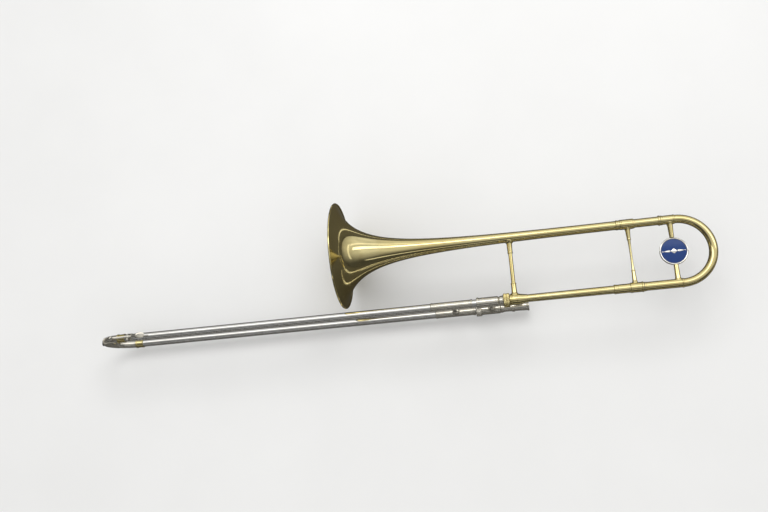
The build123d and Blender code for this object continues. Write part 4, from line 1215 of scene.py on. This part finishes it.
# The roll comes from the up direction of a level camera that looks against this vector.
level_back = Vector((-0.0433, -0.3243, 0.9450)).normalized()
level_right = Vector((0, 0, 1)).cross(level_back).normalized()
level_up = level_back.cross(level_right)
camera_aim = Vector((MIDDLE.x - 0.005, MIDDLE.y + 0.010, -0.02))
camera_back = (camera.location - camera_aim).normalized()
camera_right = level_up.cross(camera_back).normalized()
camera_up = camera_back.cross(camera_right)
camera.rotation_euler = Matrix((camera_right, camera_up, camera_back)).transposed().to_euler()
scene.camera = camera


# ------------------------------------------------------------------ floor

def floor_material():
    line_extra_x, line_out, line_half = 0.40, 0.34, 0.032  # place and half width of the line
    fade_start, fade_end = 0.75, 3.2                       # distance of the cove's blend
    g = Finish("pale_floor")
    drift = g.ramp(g.noise(scale=3.0, detail=4, roughness=0.55), start=0.3, end=0.7)
    g.surface({
        "Base Color": g.mix(drift, (0.80, 0.80, 0.795), (0.83, 0.83, 0.825)),
        "Roughness": 0.75,
        "Specular IOR Level": 0.2})

    # polished metal mirrors a dark floor
    ray = g.node("ShaderNodeLightPath").outputs
    dark = g.node("ShaderNodeBsdfDiffuse", {"Color": (0.085, 0.081, 0.072, 1)})

    # a pale line round the dark part, so that polished metal mirrors a thin bright edge
    axes = g.split(g.place)
    from_x = g.math("ABSOLUTE", g.math("SUBTRACT", axes["X"], MIDDLE.x), 0.0)
    from_y = g.math("ABSOLUTE", g.math("SUBTRACT", axes["Y"], MIDDLE.y), 0.0)
    ring = g.math("MAXIMUM", g.math("SUBTRACT", from_x, line_extra_x), from_y)
    off = g.math("ABSOLUTE", g.math("SUBTRACT", ring, line_out), 0.0)
    line = g.math("MAXIMUM", g.math("SUBTRACT", 1.0, g.math("DIVIDE", off, line_half)), 0.0)
    edge = g.node("ShaderNodeEmission", {"Color": (1.0, 0.985, 0.94, 1), "Strength": line})
    mirrored = g.node("ShaderNodeAddShader",
                      {0: dark.outputs["BSDF"], 1: edge.outputs["Emission"]})
    floor_look = g.mix_shader(ray["Is Glossy Ray"], g.bsdf.outputs["BSDF"],
                              mirrored.outputs["Shader"])

    # the floor melts into the backdrop away from the object, as a studio cove does
    far = g.vector_math("DISTANCE", g.place, (MIDDLE.x, MIDDLE.y, 0), output="Value")
    fade = g.smooth(far, (fade_start, fade_end))
    seen = g.math("MULTIPLY", fade, ray["Is Camera Ray"])
    cove = g.node("ShaderNodeEmission", {"Color": PALE})
    g.fill(g.output, {"Surface": g.mix_shader(seen, floor_look, cove.outputs["Emission"])})
    return g.material


floor_mesh = bpy.data.meshes.new("studio_floor")
floor_corners = [(MIDDLE.x + x * FLOOR_HALF, MIDDLE.y + y * FLOOR_HALF, FLOOR_Z)
                 for x, y in ((-1, -1), (1, -1), (1, 1), (-1, 1))]
floor_mesh.from_pydata(floor_corners, [], [(0, 1, 2, 3)])
floor = bpy.data.objects.new("studio_floor", floor_mesh)
scene.collection.objects.link(floor)
floor_mesh.materials.append(floor_material())

# ------------------------------------------------------------------ world
# Windows on a ceiling plane one unit up, in camera-turned directions, as mirrored in metal:
# x range, y range, (softness in x, in y), brightness
WINDOWS = [
    ((-1.3, 1.7), (0.28, 0.60), (0.10, 0.035), 1.55),
    ((-1.9, 2.3), (0.95, 1.30), (0.15, 0.06), 0.50),
    ((-1.1, 1.3), (-1.80, -1.40), (0.12, 0.06), 0.70),
    ((2.6, 3.3), (-0.9, 1.4), (0.12, 0.12), 0.55),
    ((-4.2, -3.0), (-0.6, 1.6), (0.2, 0.15), 0.45),
]


def mirrored_room(g):
    """Brightness of the room that polished metal sees, by direction."""

    def facing(vector, direction):
        return g.vector_math("DOT_PRODUCT", vector, direction, output="Value")

    # The bright side of the room goes round with the camera, so that metal is lit alike
    # from every side.
    generated = g.node("ShaderNodeTexCoord").outputs["Generated"]
    turn = g.node("ShaderNodeVectorTransform", {"Vector": generated},
                  vector_type="VECTOR", convert_from="WORLD", convert_to="CAMERA")
    rows = [(camera_right[i], camera_up[i], -camera_back[i]) for i in range(3)]
    parts = {i: facing(turn.outputs["Vector"], row) for i, row in enumerate(rows)}
    direction = g.node("ShaderNodeCombineXYZ", parts).outputs["Vector"]
    axes = g.split(direction)
    rise = axes["Z"]

    # a bright half of the room on the +Y side and above, a dark half opposite
    bright_side = Vector((0.30, 0.58, 0.76)).normalized()
    glow = g.smooth(facing(direction, bright_side), (0.10, 0.86), (0.060, 0.70))
    above = g.smooth(rise, (-0.30, 0.16), (0.45, 1.0))
    level = g.math("MULTIPLY", glow, above)

    # the far wall, which a low camera sees mirrored in tubes that run away from it
    wall_side = Vector((0.0, 0.55, -0.83)).normalized()
    wall = g.smooth(facing(direction, wall_side), (0.20, 0.90), (0.0, 0.44))
    wall = g.math("MULTIPLY", wall, g.smooth(rise, (-0.28, 0.0), (1.0, 0.0)))
    level = g.math("ADD", level, wall)

    ceiling = g.math("MAXIMUM", rise, 0.06)
    plane_x = g.math("DIVIDE", axes["X"], ceiling)
    plane_y = g.math("DIVIDE", axes["Y"], ceiling)

    def band(value, edges, soft):
        start, end = edges
        return g.math("MULTIPLY", g.smooth(value, (start - soft, start + soft)),
                      g.smooth(value, (end - soft, end + soft), (1.0, 0.0)))

    for x_range, y_range, (soft_x, soft_y), power in WINDOWS:
        pane = g.math("MULTIPLY", band(plane_x, x_range, soft_x), band(plane_y, y_range, soft_y))
        pane = g.math("MULTIPLY", pane, g.smooth(rise, (0.05, 0.12)))
        level = g.math("ADD", level, g.math("MULTIPLY", pane, power))

    # a faint unevenness, so that no reflection is a plain gradient
    uneven = g.node("ShaderNodeTexNoise", {"Scale": 3.2, "Detail": 3, "Vector": direction})
    return g.math("MULTIPLY", level, g.smooth(uneven.outputs["Fac"], (0.3, 0.7), (0.82, 1.1)))


def build_world():
    """A pale backdrop for the camera, the room for glossy rays, and soft light for the rest."""
    world = bpy.data.worlds.new("studio")
    scene.world = world
    g = Graph(world)

    def background(colour, strength):
        return g.node("ShaderNodeBackground",
                      {"Color": colour, "Strength": strength}).outputs["Background"]

    room = background((1.0, 0.992, 0.972, 1), mirrored_room(g))
    pale = background(PALE, 1.0)
    soft = background((1.0, 0.998, 0.99, 1), 0.88)
    ray = g.node("ShaderNodeLightPath").outputs
    light = g.mix_shader(ray["Is Glossy Ray"], soft, room)
    g.node("ShaderNodeOutputWorld", {"Surface": g.mix_shader(ray["Is Camera Ray"], light, pale)})


build_world()


# ------------------------------------------------------------------ lights

def softbox(name, offset, size, power, tint=(1, 1, 1), mirrored=False):
    """A rectangular light at an offset from the object's middle in X and Y, and at a height
    offset[2], turned towards the middle."""
    light = bpy.data.lights.new(name, "AREA")
    light.shape = "RECTANGLE"
    light.size, light.size_y = size
    light.energy = power
    light.color = tint
    obj = bpy.data.objects.new(name, light)
    place = Vector((MIDDLE.x + offset[0], MIDDLE.y + offset[1], offset[2]))
    obj.location = place
    aim = Vector((MIDDLE.x, MIDDLE.y, 0)) - place
    obj.rotation_euler = aim.to_track_quat("-Z", "Y").to_euler()
    obj.visible_camera = False
    obj.visible_glossy = mirrored
    scene.collection.objects.link(obj)


softbox("key_back", offset=(0.35, 1.15, 1.5), size=(1.3, 0.7), power=9)
softbox("top", offset=(-0.2, 0.1, 2.5), size=(1.6, 1.2), power=5)
softbox("glint", offset=(0.15, 0.75, 1.7), size=(0.5, 0.10), power=0.45,
        tint=(1, 0.99, 0.96), mirrored=True)
